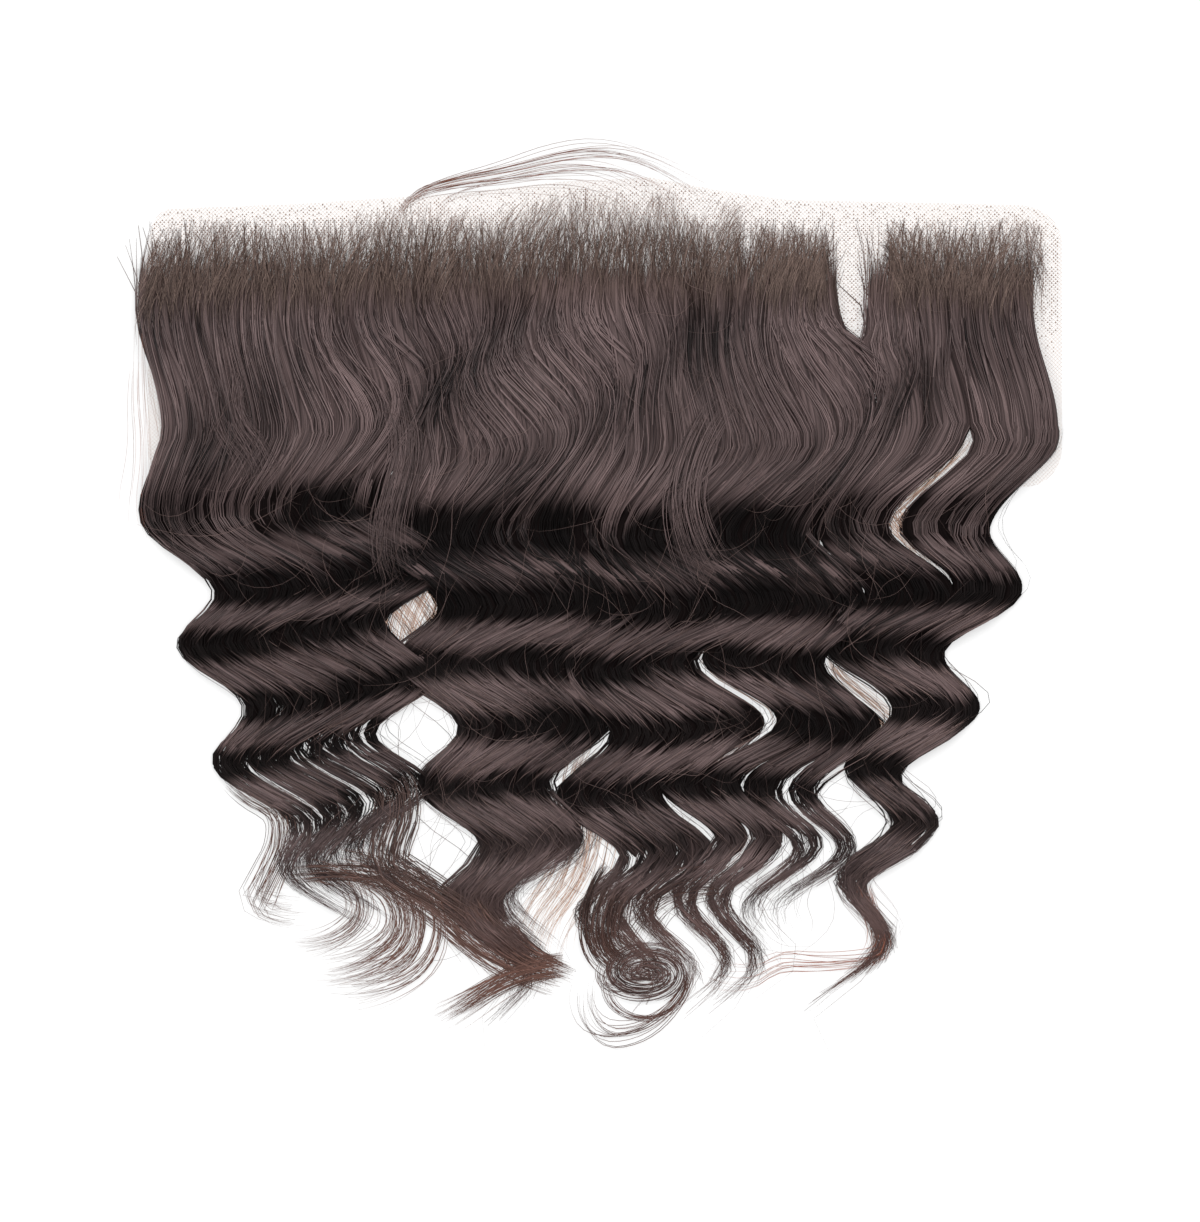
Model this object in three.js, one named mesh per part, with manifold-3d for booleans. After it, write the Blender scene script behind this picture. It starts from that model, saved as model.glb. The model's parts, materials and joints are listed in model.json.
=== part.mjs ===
// A lace frontal lying flat: a 13 by 4 inch net with long wavy hair tied into it and combed back.
// +X runs from the wearer's one ear to the other, -Y is the way the hair falls, +Z is up.
// The origin is the middle of the net's underside. All lengths are in millimetres.
import * as THREE from "three";
import Module from "manifold-3d";

const wasm = await Module();
wasm.setup();

// Lace net
const LACE_WIDTH = 330;
const LACE_DEPTH = 102;
const LACE_THICKNESS = 1;
const LACE_PEAK = 10; // how far the front edge bows forward
const LACE_CORNER = 14;

// Hair
const HAIR_FALL = 298; // from the front roots to the longest tip, as it lies
const HAIR_INSET = 5; // from the net's side to the middle of the outermost roots
const HAIR_HALF_WIDTH = LACE_WIDTH / 2 - HAIR_INSET;
const HAIR_SET_BACK = 6; // from the net's front edge to the first full row of roots
const HAIR_OFFSET = -5; // the fall lies a little to one side of the net's middle
const ROOT_HEIGHT = 2.4;
const CROWN_HEIGHT = 14;
const TIP_HEIGHT = 5;
const SWAY = 9.5; // how far a wave swings to each side
const RELIEF = 0.52; // share of the height by which the hair dips between two ridges
const LIFT = 0.3; // share of a ridge's rise by which a lock leaves the table under it
const TAPER = 0.64; // share of the half width that the fall would lose over its whole length
const TAPER_START = 0.28;
const LANE_PITCH = 0.08; // from one lock's root to the next, as a share of the half width
const ROOT_SPREAD = 1.35; // a lock's width at its roots, as a share of the pitch
const TIP_SPREAD = 0.35; // a lock's width at its tip, as a share of its girth
const CURL_RADIUS = 15;
const CURL_HEIGHT = 4;

// Between neighbours
const CLEARANCE = 0.35;
const SIDE_CLEARANCE = 0.5; // square to the fall, so less where the hair runs aslant
const REAR_RAMP = 0.06; // share of the fall in which the hair comes down off the net

// The net's front edge, across it and forward, as shares of its half width and of its peak.
const FRONT_EDGE = [
  { across: -0.96, forward: -0.15 },
  { across: -0.66, forward: 0.05 },
  { across: -0.34, forward: 0.4 },
  { across: -0.08, forward: 0.86 },
  { across: 0.1, forward: 1 },
  { across: 0.24, forward: 0.55 },
  { across: 0.4, forward: 0.18 },
  { across: 0.64, forward: 0.1 },
  { across: 0.9, forward: 0 },
];

// Where the hair is parted to the bare net: gape is how far the roots draw aside, and closed the
// share of the fall at which the two sides meet again.
const PARTINGS = [
  { lane: 0.6, gape: 0.085, closed: 0.16 },
  { lane: 0.355, gape: 0.012, closed: 0.08 },
];

// The waves: each row is a turn of the hair, its place down the fall and its swing to the side.
const TURNS = [
  { down: -0.1, swing: 0 },
  { down: 0.1, swing: -0.25 },
  { down: 0.25, swing: 0.7 },
  { down: 0.364, swing: -1 },
  { down: 0.448, swing: 1 },
  { down: 0.515, swing: -1 },
  { down: 0.588, swing: 1 },
  { down: 0.66, swing: -1 },
  { down: 0.727, swing: 1 },
  { down: 0.794, swing: -1 },
  { down: 0.873, swing: 1 },
  { down: 0.955, swing: -1 },
  { down: 1.04, swing: 1 },
];

// The locks of each section, from left to right. root, low and tip are the lane that a lock keeps
// to, as a share of the fall's half width. girth is its width low down as a share of the pitch,
// end the share of the fall at which it ends, wave its swing (negative is mirrored), late how
// much slower its waves come, and curl the turn of its end in degrees.
const SECTIONS = {
  hair_centre: [
    { root: -0.405, low: -0.39, tip: -0.36, girth: 1, end: 0.96, wave: 1, late: 0.04, curl: 0 },
    { root: -0.325, low: -0.345, tip: -0.31, girth: 1, end: 0.95, wave: 1, late: 0.04, curl: 0 },
    { root: -0.245, low: -0.3, tip: -0.27, girth: 1, end: 0.92, wave: 1, late: 0.04, curl: 0 },
    { root: -0.165, low: -0.25, tip: -0.23, girth: 1, end: 0.89, wave: 1, late: 0.035, curl: 0 },
    { root: -0.085, low: -0.2, tip: -0.21, girth: 1, end: 0.86, wave: 1, late: 0.03, curl: 0 },
    { root: -0.005, low: -0.11, tip: -0.18, girth: 1.15, end: 0.82, wave: 1, late: 0.035, curl: 0 },
  ],
  hair_left: [
    { root: -0.95, low: -1.01, tip: -0.88, girth: 0.7, end: 0.86, wave: 1, late: 0, curl: 0 },
    { root: -0.857, low: -0.93, tip: -0.83, girth: 0.85, end: 0.85, wave: 1, late: -0.005, curl: 0 },
    { root: -0.764, low: -0.85, tip: -0.78, girth: 1, end: 0.86, wave: 1, late: -0.015, curl: 0 },
    { root: -0.671, low: -0.77, tip: -0.73, girth: 1.1, end: 0.84, wave: 1, late: -0.03, curl: 0 },
    { root: -0.578, low: -0.69, tip: -0.68, girth: 1.1, end: 0.82, wave: 1, late: -0.048, curl: 0 },
    { root: -0.485, low: -0.61, tip: -0.62, girth: 1, end: 0.8, wave: 1.05, late: -0.065, curl: 0 },
  ],
  hair_right: [
    { root: 0.075, low: 0.045, tip: 0.085, girth: 1.25, end: 0.875, wave: 1, late: 0.055, curl: 290 },
    { root: 0.155, low: 0.15, tip: 0.17, girth: 1.2, end: 0.9, wave: 1, late: 0.052, curl: 0 },
    { root: 0.235, low: 0.24, tip: 0.28, girth: 1.1, end: 0.89, wave: 1, late: 0.045, curl: 0 },
    { root: 0.315, low: 0.36, tip: 0.42, girth: 1.1, end: 0.9, wave: 1, late: 0.03, curl: 0 },
    { root: 0.395, low: 0.48, tip: 0.53, girth: 1.1, end: 0.89, wave: 1, late: 0.03, curl: 0 },
    { root: 0.475, low: 0.6, tip: 0.64, girth: 1.1, end: 0.84, wave: 1, late: 0.04, curl: 0 },
    { root: 0.555, low: 0.73, tip: 0.755, girth: 1, end: 0.81, wave: 1, late: 0.04, curl: 0 },
  ],
  hair_far_right: [
    { root: 0.66, low: 0.88, tip: 0.96, girth: 0.9, end: 0.8, wave: 1, late: 0, curl: 0 },
    { root: 0.76, low: 0.92, tip: 0.97, girth: 0.8, end: 0.88, wave: 1, late: 0, curl: 0 },
    { root: 0.86, low: 0.95, tip: 0.98, girth: 0.8, end: 0.9, wave: 1, late: 0, curl: 0 },
    { root: 0.955, low: 0.98, tip: 1, girth: 0.7, end: 0.86, wave: 1.05, late: 0.01, curl: 0 },
  ],
};

// A lock's cross section, sideways from its middle and up from its underside, as shares.
const PROFILE = [
  { side: -0.5, up: 0 },
  { side: 0.5, up: 0 },
  { side: 0.18, up: 1 },
  { side: -0.18, up: 1 },
];

// How far down the fall the roots' course, the full waves and the low course begin.
const ROOT_FALL = 0.2;
const WAVE_FALL = 0.38;
const LOW_FALL = 0.7;
const TAPER_FALL = 0.18; // the length of fall over which a lock's end thins

const STEPS_PER_ROOT_TURN = 2;
const STEPS_PER_TURN = 4;
const CURL_STEP = 30; // degrees
const SMOOTHING = 0.09; // mm by which small facets may be levelled

const FRONT_ROW = LACE_DEPTH / 2 - HAIR_SET_BACK;
const NET_TOP = LACE_THICKNESS + CLEARANCE;
const NET_REAR = (FRONT_ROW + LACE_DEPTH / 2 + CLEARANCE) / HAIR_FALL;

const mix = THREE.MathUtils.lerp;
const smooth = (value, from, to) => THREE.MathUtils.smoothstep(value, from, to);

// The waves' swing to the side at a place down the fall, from -1 to 1.
function swingAt(down) {
  const next = Math.max(1, TURNS.findIndex((turn) => turn.down >= down));
  const [a, b] = [TURNS[next - 1], TURNS[next]];
  const share = THREE.MathUtils.clamp((down - a.down) / (b.down - a.down), 0, 1);
  return mix(a.swing, b.swing, (1 - Math.cos(Math.PI * share)) / 2);
}

// How far forward of its straight line the net's front edge lies at x.
function edgeForwardAt(x) {
  const across = x / (LACE_WIDTH / 2);
  const next = FRONT_EDGE.findIndex((point) => point.across >= across);
  if (next < 0) return FRONT_EDGE.at(-1).forward * LACE_PEAK;
  if (next === 0) return FRONT_EDGE[0].forward * LACE_PEAK;
  const [a, b] = [FRONT_EDGE[next - 1], FRONT_EDGE[next]];
  const share = (across - a.across) / (b.across - a.across);
  return mix(a.forward, b.forward, share) * LACE_PEAK;
}

// A lane's course: roots, low fall and tip, drawn aside at the partings.
function laneAt(lock, down) {
  const upper = mix(lock.root, lock.low, smooth(down, WAVE_FALL, LOW_FALL));
  const lane = mix(upper, lock.tip, smooth(down, LOW_FALL, lock.end));
  return PARTINGS.reduce((at, { lane: parting, gape, closed }) => {
    const away = lock.root - parting;
    const drawn = gape * Math.exp(-Math.abs(away) / LANE_PITCH) * (1 - smooth(down, 0, closed));
    return at + Math.sign(away) * drawn;
  }, lane);
}

const halfWidthAt = (down) => HAIR_HALF_WIDTH * (1 - TAPER * Math.max(0, down - TAPER_START));

// What the hair lies on: the net, and past its rear edge the table.
const groundAt = (down) => NET_TOP * (1 - smooth(down, NET_REAR, NET_REAR + REAR_RAMP));

function heightAt(down, rootDown) {
  const crown = mix(ROOT_HEIGHT, CROWN_HEIGHT, smooth(down, rootDown, 0.14));
  return crown * mix(1, TIP_HEIGHT / CROWN_HEIGHT, smooth(down, WAVE_FALL, 1));
}

// Where a lock's section lies at a place down the fall: its middle, width, underside and top.
function sectionAt(lock, rootDown, down) {
  const swing = swingAt(down * (1 - lock.late));
  const waved = smooth(down, ROOT_FALL, WAVE_FALL);
  const dip = waved * Math.abs(swing) ** 1.5;
  const height = heightAt(down, rootDown);
  const ground = groundAt(down);
  const spread = mix(ROOT_SPREAD, lock.girth, smooth(down, WAVE_FALL, LOW_FALL));
  const taper = mix(1, TIP_SPREAD, smooth(down, lock.end - TAPER_FALL, lock.end));
  return {
    x: HAIR_OFFSET + halfWidthAt(down) * laneAt(lock, down) + SWAY * swing * mix(1, lock.wave, waved),
    y: FRONT_ROW - HAIR_FALL * down,
    width: HAIR_HALF_WIDTH * LANE_PITCH * spread * taper,
    bottom: ground + LIFT * RELIEF * height * (waved - dip),
    top: ground + height * (1 - RELIEF * dip),
  };
}

// One ring of a lock's surface, square to the side vector, with its sides, top and underside
// grown outwards. The slanting sides keep their slope, so the underside widens the most.
function ringAt(at, side, grow) {
  const slope = ((PROFILE[1].side - PROFILE[2].side) * at.width) / (at.top - at.bottom);
  return PROFILE.map((p) => {
    const out = p.side * at.width + Math.sign(p.side) * grow * (1 + slope * (1 - p.up));
    return [at.x + side.x * out, at.y + side.y * out, mix(at.bottom - grow, at.top + grow, p.up)];
  });
}

// The closed solid through a row of rings.
function solidOf(rings) {
  const sides = PROFILE.length;
  const faces = [];
  for (let ring = 1; ring < rings.length; ring++) {
    for (let i = 0; i < sides; i++) {
      const [a, b] = [(ring - 1) * sides + i, (ring - 1) * sides + ((i + 1) % sides)];
      faces.push(a, b, b + sides, a, b + sides, a + sides);
    }
  }
  const last = (rings.length - 1) * sides;
  for (let i = 2; i < sides; i++) {
    faces.push(0, i, i - 1, last, last + i - 1, last + i);
  }
  return new wasm.Manifold(
    new wasm.Mesh({
      numProp: 3,
      vertProperties: new Float32Array(rings.flat(2)),
      triVerts: new Uint32Array(faces),
    }),
  );
}

// The fall of one lock, from its roots on the net to its end.
function fallOf(lock, grow) {
  const rootX = HAIR_OFFSET + HAIR_HALF_WIDTH * lock.root;
  const rootDown = -edgeForwardAt(rootX) / HAIR_FALL;
  const places = TURNS.slice(1).flatMap((turn, i) => {
    const steps = turn.down < WAVE_FALL ? STEPS_PER_ROOT_TURN : STEPS_PER_TURN;
    return Array.from({ length: steps }, (_, step) =>
      mix(TURNS[i].down, turn.down, step / steps));
  });
  const least = (TURNS.at(-1).down - TURNS.at(-2).down) / STEPS_PER_TURN / 3;
  const inside = places.filter((down) => down > rootDown + least && down < lock.end - least);
  const straight = new THREE.Vector2(1, 0);
  const sections = [rootDown, ...inside, lock.end].map((down) => sectionAt(lock, rootDown, down));
  sections[0].y += grow;
  sections.at(-1).y -= grow;
  return solidOf(sections.map((at) => ringAt(at, straight, grow)));
}

// The curl that a lock ends in: it turns round to the right and climbs over itself.
function curlOf(lock, grow) {
  const start = sectionAt(lock, 0, lock.end);
  const rings = [];
  const steps = Math.round(lock.curl / CURL_STEP);
  for (let step = 0; step <= steps; step++) {
    const turn = THREE.MathUtils.degToRad((lock.curl * step) / steps);
    const side = new THREE.Vector2(Math.cos(turn), Math.sin(turn));
    const bottom = start.bottom + (CURL_HEIGHT * turn) / Math.PI;
    rings.push(ringAt({
      x: start.x + CURL_RADIUS * (1 - side.x),
      y: start.y - CURL_RADIUS * side.y,
      width: start.width * (1 + smooth(turn, 0, 1)),
      bottom,
      top: bottom + CURL_HEIGHT,
    }, side, grow));
  }
  return solidOf(rings);
}

// A whole section: its locks grown together, or that shape grown by a clearance.
function sectionOf(locks, grow = 0) {
  const parts = locks.flatMap((lock) =>
    lock.curl ? [fallOf(lock, grow), curlOf(lock, grow)] : [fallOf(lock, grow)]);
  return parts.reduce((whole, part) => whole.add(part)).simplify(SMOOTHING);
}

function meshOf(name, geometry, material) {
  const mesh = new THREE.Mesh(geometry, material);
  mesh.name = name;
  return mesh;
}

function geometryOf(solid) {
  const { vertProperties, triVerts } = solid.getMesh();
  return new THREE.BufferGeometry()
    .setAttribute("position", new THREE.BufferAttribute(vertProperties, 3))
    .setIndex(new THREE.BufferAttribute(triVerts, 1));
}

// The net, as a closed sheet with the outline of the cut lace.
function laceGeometry() {
  const [half, front, rear] = [LACE_WIDTH / 2, LACE_DEPTH / 2, -LACE_DEPTH / 2];
  const edge = FRONT_EDGE.map(
    ({ across, forward }) => new THREE.Vector2(across * half, front + forward * LACE_PEAK),
  );
  const outline = new THREE.Shape();
  outline.moveTo(-half, rear + LACE_CORNER);
  outline.lineTo(-half, front - LACE_CORNER);
  outline.quadraticCurveTo(-half, edge[0].y, edge[0].x, edge[0].y);
  outline.splineThru(edge.slice(1));
  outline.quadraticCurveTo(half, edge.at(-1).y, half, front - LACE_CORNER);
  outline.lineTo(half, rear + LACE_CORNER);
  outline.quadraticCurveTo(half, rear, half - LACE_CORNER, rear);
  outline.lineTo(-half + LACE_CORNER, rear);
  outline.quadraticCurveTo(-half, rear, -half, rear + LACE_CORNER);
  return new THREE.ExtrudeGeometry(outline, {
    depth: LACE_THICKNESS,
    bevelEnabled: false,
    curveSegments: 3,
  });
}

// What is left of a solid after a cut, without the slivers that the cut leaves beside it.
function mainBodyOf(solid) {
  return solid.decompose().reduce((most, body) => (body.volume() > most.volume() ? body : most));
}

// Each section keeps its shape where a later one would run into it.
function hairMeshes(material) {
  const laid = [];
  return Object.entries(SECTIONS).map(([name, locks]) => {
    const whole = laid.reduce(
      (solid, other) => solid.subtract(sectionOf(other, SIDE_CLEARANCE)),
      sectionOf(locks),
    );
    laid.push(locks);
    return meshOf(name, geometryOf(mainBodyOf(whole)), material);
  });
}

const lace = new THREE.MeshStandardMaterial({ color: 0xcdbfae, roughness: 0.9, metalness: 0 });
const hair = new THREE.MeshStandardMaterial({ color: 0x2a2221, roughness: 0.45, metalness: 0 });

const frontal = new THREE.Group();
frontal.add(meshOf("lace_base", laceGeometry(), lace), ...hairMeshes(hair));

export default frontal;
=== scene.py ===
"""Dressed model of a lace frontal: a sheer net with long wavy hair knotted into it, lying flat."""

from __future__ import annotations

import json
import logging
import math
from dataclasses import dataclass, field
from enum import Enum
from typing import Any, Sequence

import bmesh
import bpy
import numpy as np
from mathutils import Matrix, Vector

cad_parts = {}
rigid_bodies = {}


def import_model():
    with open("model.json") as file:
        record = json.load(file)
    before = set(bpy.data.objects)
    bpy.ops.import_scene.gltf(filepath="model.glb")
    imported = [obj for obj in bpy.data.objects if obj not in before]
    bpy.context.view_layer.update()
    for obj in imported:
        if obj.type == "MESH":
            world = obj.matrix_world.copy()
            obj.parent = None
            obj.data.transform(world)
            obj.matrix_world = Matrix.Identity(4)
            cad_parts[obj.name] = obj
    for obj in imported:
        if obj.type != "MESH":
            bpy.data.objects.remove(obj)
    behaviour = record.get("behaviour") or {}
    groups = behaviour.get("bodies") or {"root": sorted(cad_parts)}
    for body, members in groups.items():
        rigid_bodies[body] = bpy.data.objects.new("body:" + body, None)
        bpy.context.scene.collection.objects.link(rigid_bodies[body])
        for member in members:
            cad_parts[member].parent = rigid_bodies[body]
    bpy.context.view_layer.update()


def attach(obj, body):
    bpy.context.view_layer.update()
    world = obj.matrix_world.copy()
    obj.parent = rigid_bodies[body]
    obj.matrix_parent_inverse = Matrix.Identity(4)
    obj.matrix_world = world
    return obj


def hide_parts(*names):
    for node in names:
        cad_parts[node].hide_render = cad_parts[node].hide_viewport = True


LOG = logging.getLogger("lace_frontal")
MM = 0.001
PHOTO = (1200, 1222)  # pixels
PIXEL = 0.361 * MM  # on the table
PHOTO_ORIGIN = (605, 346)  # the pixel that shows the middle of the net
FULL_TURN = 2 * np.pi
Array = np.ndarray
Colour = tuple[int, int, int]


def from_photo(px: float, py: float) -> tuple[float, float]:
    """Turn a pixel of the photograph into a place on the table.

    Args:
        px: Pixels from the left.
        py: Pixels from the top.

    Returns:
        X and Y in metres.
    """
    return (px - PHOTO_ORIGIN[0]) * PIXEL, (PHOTO_ORIGIN[1] - py) * PIXEL


def smooth(value: Array | float, low: Array | float, high: Array | float) -> Array:
    """Rise from 0 at low to 1 at high with level ends.

    Args:
        value: Where to read the rise.
        low: Where it starts.
        high: Where it ends.

    Returns:
        The risen share, from 0 to 1.
    """
    share = np.clip((np.asarray(value) - low) / (high - low), 0, 1)
    return share * share * (3 - 2 * share)


def mix(a: Any, b: Any, share: Any) -> Any:
    """Blend from a to b by a share."""
    return a + (b - a) * share


def pointed(share: Array, start: tuple[float, float], end: tuple[float, float],
            begun: Array | float = 0.0) -> Array:
    """Thin strands out at both ends.

    Args:
        share: Places along them, from 0 to 1.
        start: The thickness where they begin, and over which share it grows.
        end: The thickness where they end, and from which share it falls.
        begun: Share at which they begin.

    Returns:
        The thickness, as a share.
    """
    grown = mix(start[0], 1, smooth(share, begun, begun + start[1]))
    return grown * mix(end[0], 1, smooth(share, 1, end[1]))


def hump(value: Array, middle: float, reach: float) -> Array:
    """Rise to 1 at a middle and fall off to both sides within about its reach."""
    return np.exp(-((value - middle) / reach) ** 2)


def linear(colour: Colour) -> tuple[float, float, float, float]:
    """Turn an sRGB colour, 0 to 255, into Blender's linear RGBA."""
    parts = [c / 255 for c in colour]
    return (*(c / 12.92 if c < 0.04045 else ((c + 0.055) / 1.055) ** 2.4 for c in parts), 1.0)


class Section(Enum):
    """The four stretches of hair, by the name of the node that each one replaces."""

    LEFT = "hair_left"
    CENTRE = "hair_centre"
    RIGHT = "hair_right"
    FAR_RIGHT = "hair_far_right"

    @property
    def before(self) -> "Section | None":
        """The stretch to its left, if any."""
        order = list(Section)
        return order[order.index(self) - 1] if self is not order[0] else None


@dataclass(frozen=True)
class Lock:
    """One lock's course.

    root, low and tip are the lane that it keeps to, as a share of the fall's half width. girth is
    its width low down as a share of the pitch, end the share of the fall at which it ends, wave
    its swing, negative where mirrored, and late how much slower its waves come.
    """

    root: float
    low: float
    tip: float
    girth: float
    end: float
    wave: float
    late: float


LOCKS: dict[Section, tuple[Lock, ...]] = {
    Section.LEFT: (
        Lock(-0.95, -1.01, -0.88, 0.7, 0.86, 1, 0),
        Lock(-0.857, -0.93, -0.83, 0.85, 0.85, 1, -0.005),
        Lock(-0.764, -0.85, -0.78, 1, 0.86, 1, -0.015),
        Lock(-0.671, -0.77, -0.73, 1.1, 0.84, 1, -0.03),
        Lock(-0.578, -0.69, -0.68, 1.1, 0.82, 1, -0.048),
        Lock(-0.485, -0.61, -0.62, 1, 0.8, 1.05, -0.065),
    ),
    Section.CENTRE: (
        Lock(-0.405, -0.39, -0.36, 1, 0.96, 1, 0.04),
        Lock(-0.325, -0.345, -0.31, 1, 0.95, 1, 0.04),
        Lock(-0.245, -0.3, -0.27, 1, 0.92, 1, 0.04),
        Lock(-0.165, -0.25, -0.23, 1, 0.89, 1, 0.035),
        Lock(-0.085, -0.2, -0.21, 1, 0.86, 1, 0.03),
        Lock(-0.005, -0.11, -0.18, 1.15, 0.82, 1, 0.035),
    ),
    Section.RIGHT: (
        Lock(0.075, 0.045, 0.085, 1.25, 0.875, 1, 0.055),
        Lock(0.155, 0.15, 0.17, 1.2, 0.9, 1, 0.052),
        Lock(0.235, 0.24, 0.28, 1.1, 0.89, 1, 0.045),
        Lock(0.315, 0.36, 0.42, 1.1, 0.9, 1, 0.03),
        Lock(0.395, 0.48, 0.53, 1.1, 0.89, 1, 0.03),
        Lock(0.475, 0.6, 0.64, 1.1, 0.84, 1, 0.04),
        Lock(0.555, 0.73, 0.755, 1, 0.81, 1, 0.04),
    ),
    Section.FAR_RIGHT: (
        Lock(0.66, 0.88, 0.96, 0.9, 0.8, 1, 0),
        Lock(0.76, 0.92, 0.97, 0.8, 0.88, 1, 0),
        Lock(0.86, 0.95, 0.98, 0.8, 0.9, 1, 0),
        Lock(0.955, 0.98, 1, 0.7, 0.86, 1.05, 0.01),
    ),
}


@dataclass(frozen=True)
class Turn:
    """A turn of the waves: its place down the fall, and its swing to the side."""

    down: float
    swing: float


TURNS = (
    Turn(-0.1, 0), Turn(0.1, -0.25), Turn(0.25, 0.7), Turn(0.364, -1), Turn(0.448, 1),
    Turn(0.515, -1), Turn(0.588, 1), Turn(0.66, -1), Turn(0.727, 1), Turn(0.794, -1),
    Turn(0.873, 1), Turn(0.955, -1), Turn(1.04, 1),
)


@dataclass(frozen=True)
class Sweep:
    """A broad sideways sweep of the hair over the crown.

    swing is how far it goes, across its width in metres, down its length as a share of the fall,
    and phase where it starts.
    """

    swing: float
    across: float
    down: float
    phase: float


SWEEPS = (Sweep(5.4 * MM, 84 * MM, 0.3, 3.56), Sweep(2.3 * MM, 56 * MM, 0.22, 3.5))


@dataclass(frozen=True)
class EdgePoint:
    """A point of the net's front edge, as shares of its half width and of its peak."""

    across: float
    forward: float


FRONT_EDGE = (
    EdgePoint(-0.96, -0.15), EdgePoint(-0.66, 0.05), EdgePoint(-0.34, 0.4),
    EdgePoint(-0.08, 0.86), EdgePoint(0.1, 1), EdgePoint(0.24, 0.55), EdgePoint(0.4, 0.18),
    EdgePoint(0.64, 0.1), EdgePoint(0.9, 0),
)


@dataclass(frozen=True)
class Parting:
    """A place where neighbouring locks stand apart.

    lane is where it lies between their roots, gape how far each side is drawn away from it, and
    opened and closed are its two ends as shares of the fall. The smaller blunt is, the rounder
    its ends are.
    """

    lane: float
    gape: float
    opened: float
    closed: float
    blunt: float = 0.42

    def parted(self, down: Array) -> Array:
        """How far it stands open at places down the fall, from 0 to 1."""
        middle, reach = (self.opened + self.closed) / 2, (self.closed - self.opened) / 2
        return np.clip(1 - ((down - middle) / reach) ** 2, 0, 1) ** self.blunt


@dataclass(frozen=True)
class Bend:
    """A stretch of a tail: its length as a share of the fall, and its turn in degrees."""

    run: float
    turn: float


@dataclass(frozen=True)
class Tail:
    """A small lock that leaves the fall on a course of its own.

    across and down are its start as shares of the fall's half width and length. heading is its
    first direction in degrees from straight down, growing towards +X. hairs is their number,
    thick their thickness as a share of a strand's. wide and narrow are its width at its start and
    end as shares of the half width, high and low its height there as shares of the hair's own
    height, deep how far down its hairs are spread, and faded how reddish it is.
    """

    across: float
    down: float
    heading: float
    hairs: int
    thick: float
    wide: float
    narrow: float
    high: float
    low: float
    deep: float
    faded: float
    bends: tuple[Bend, ...]


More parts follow.
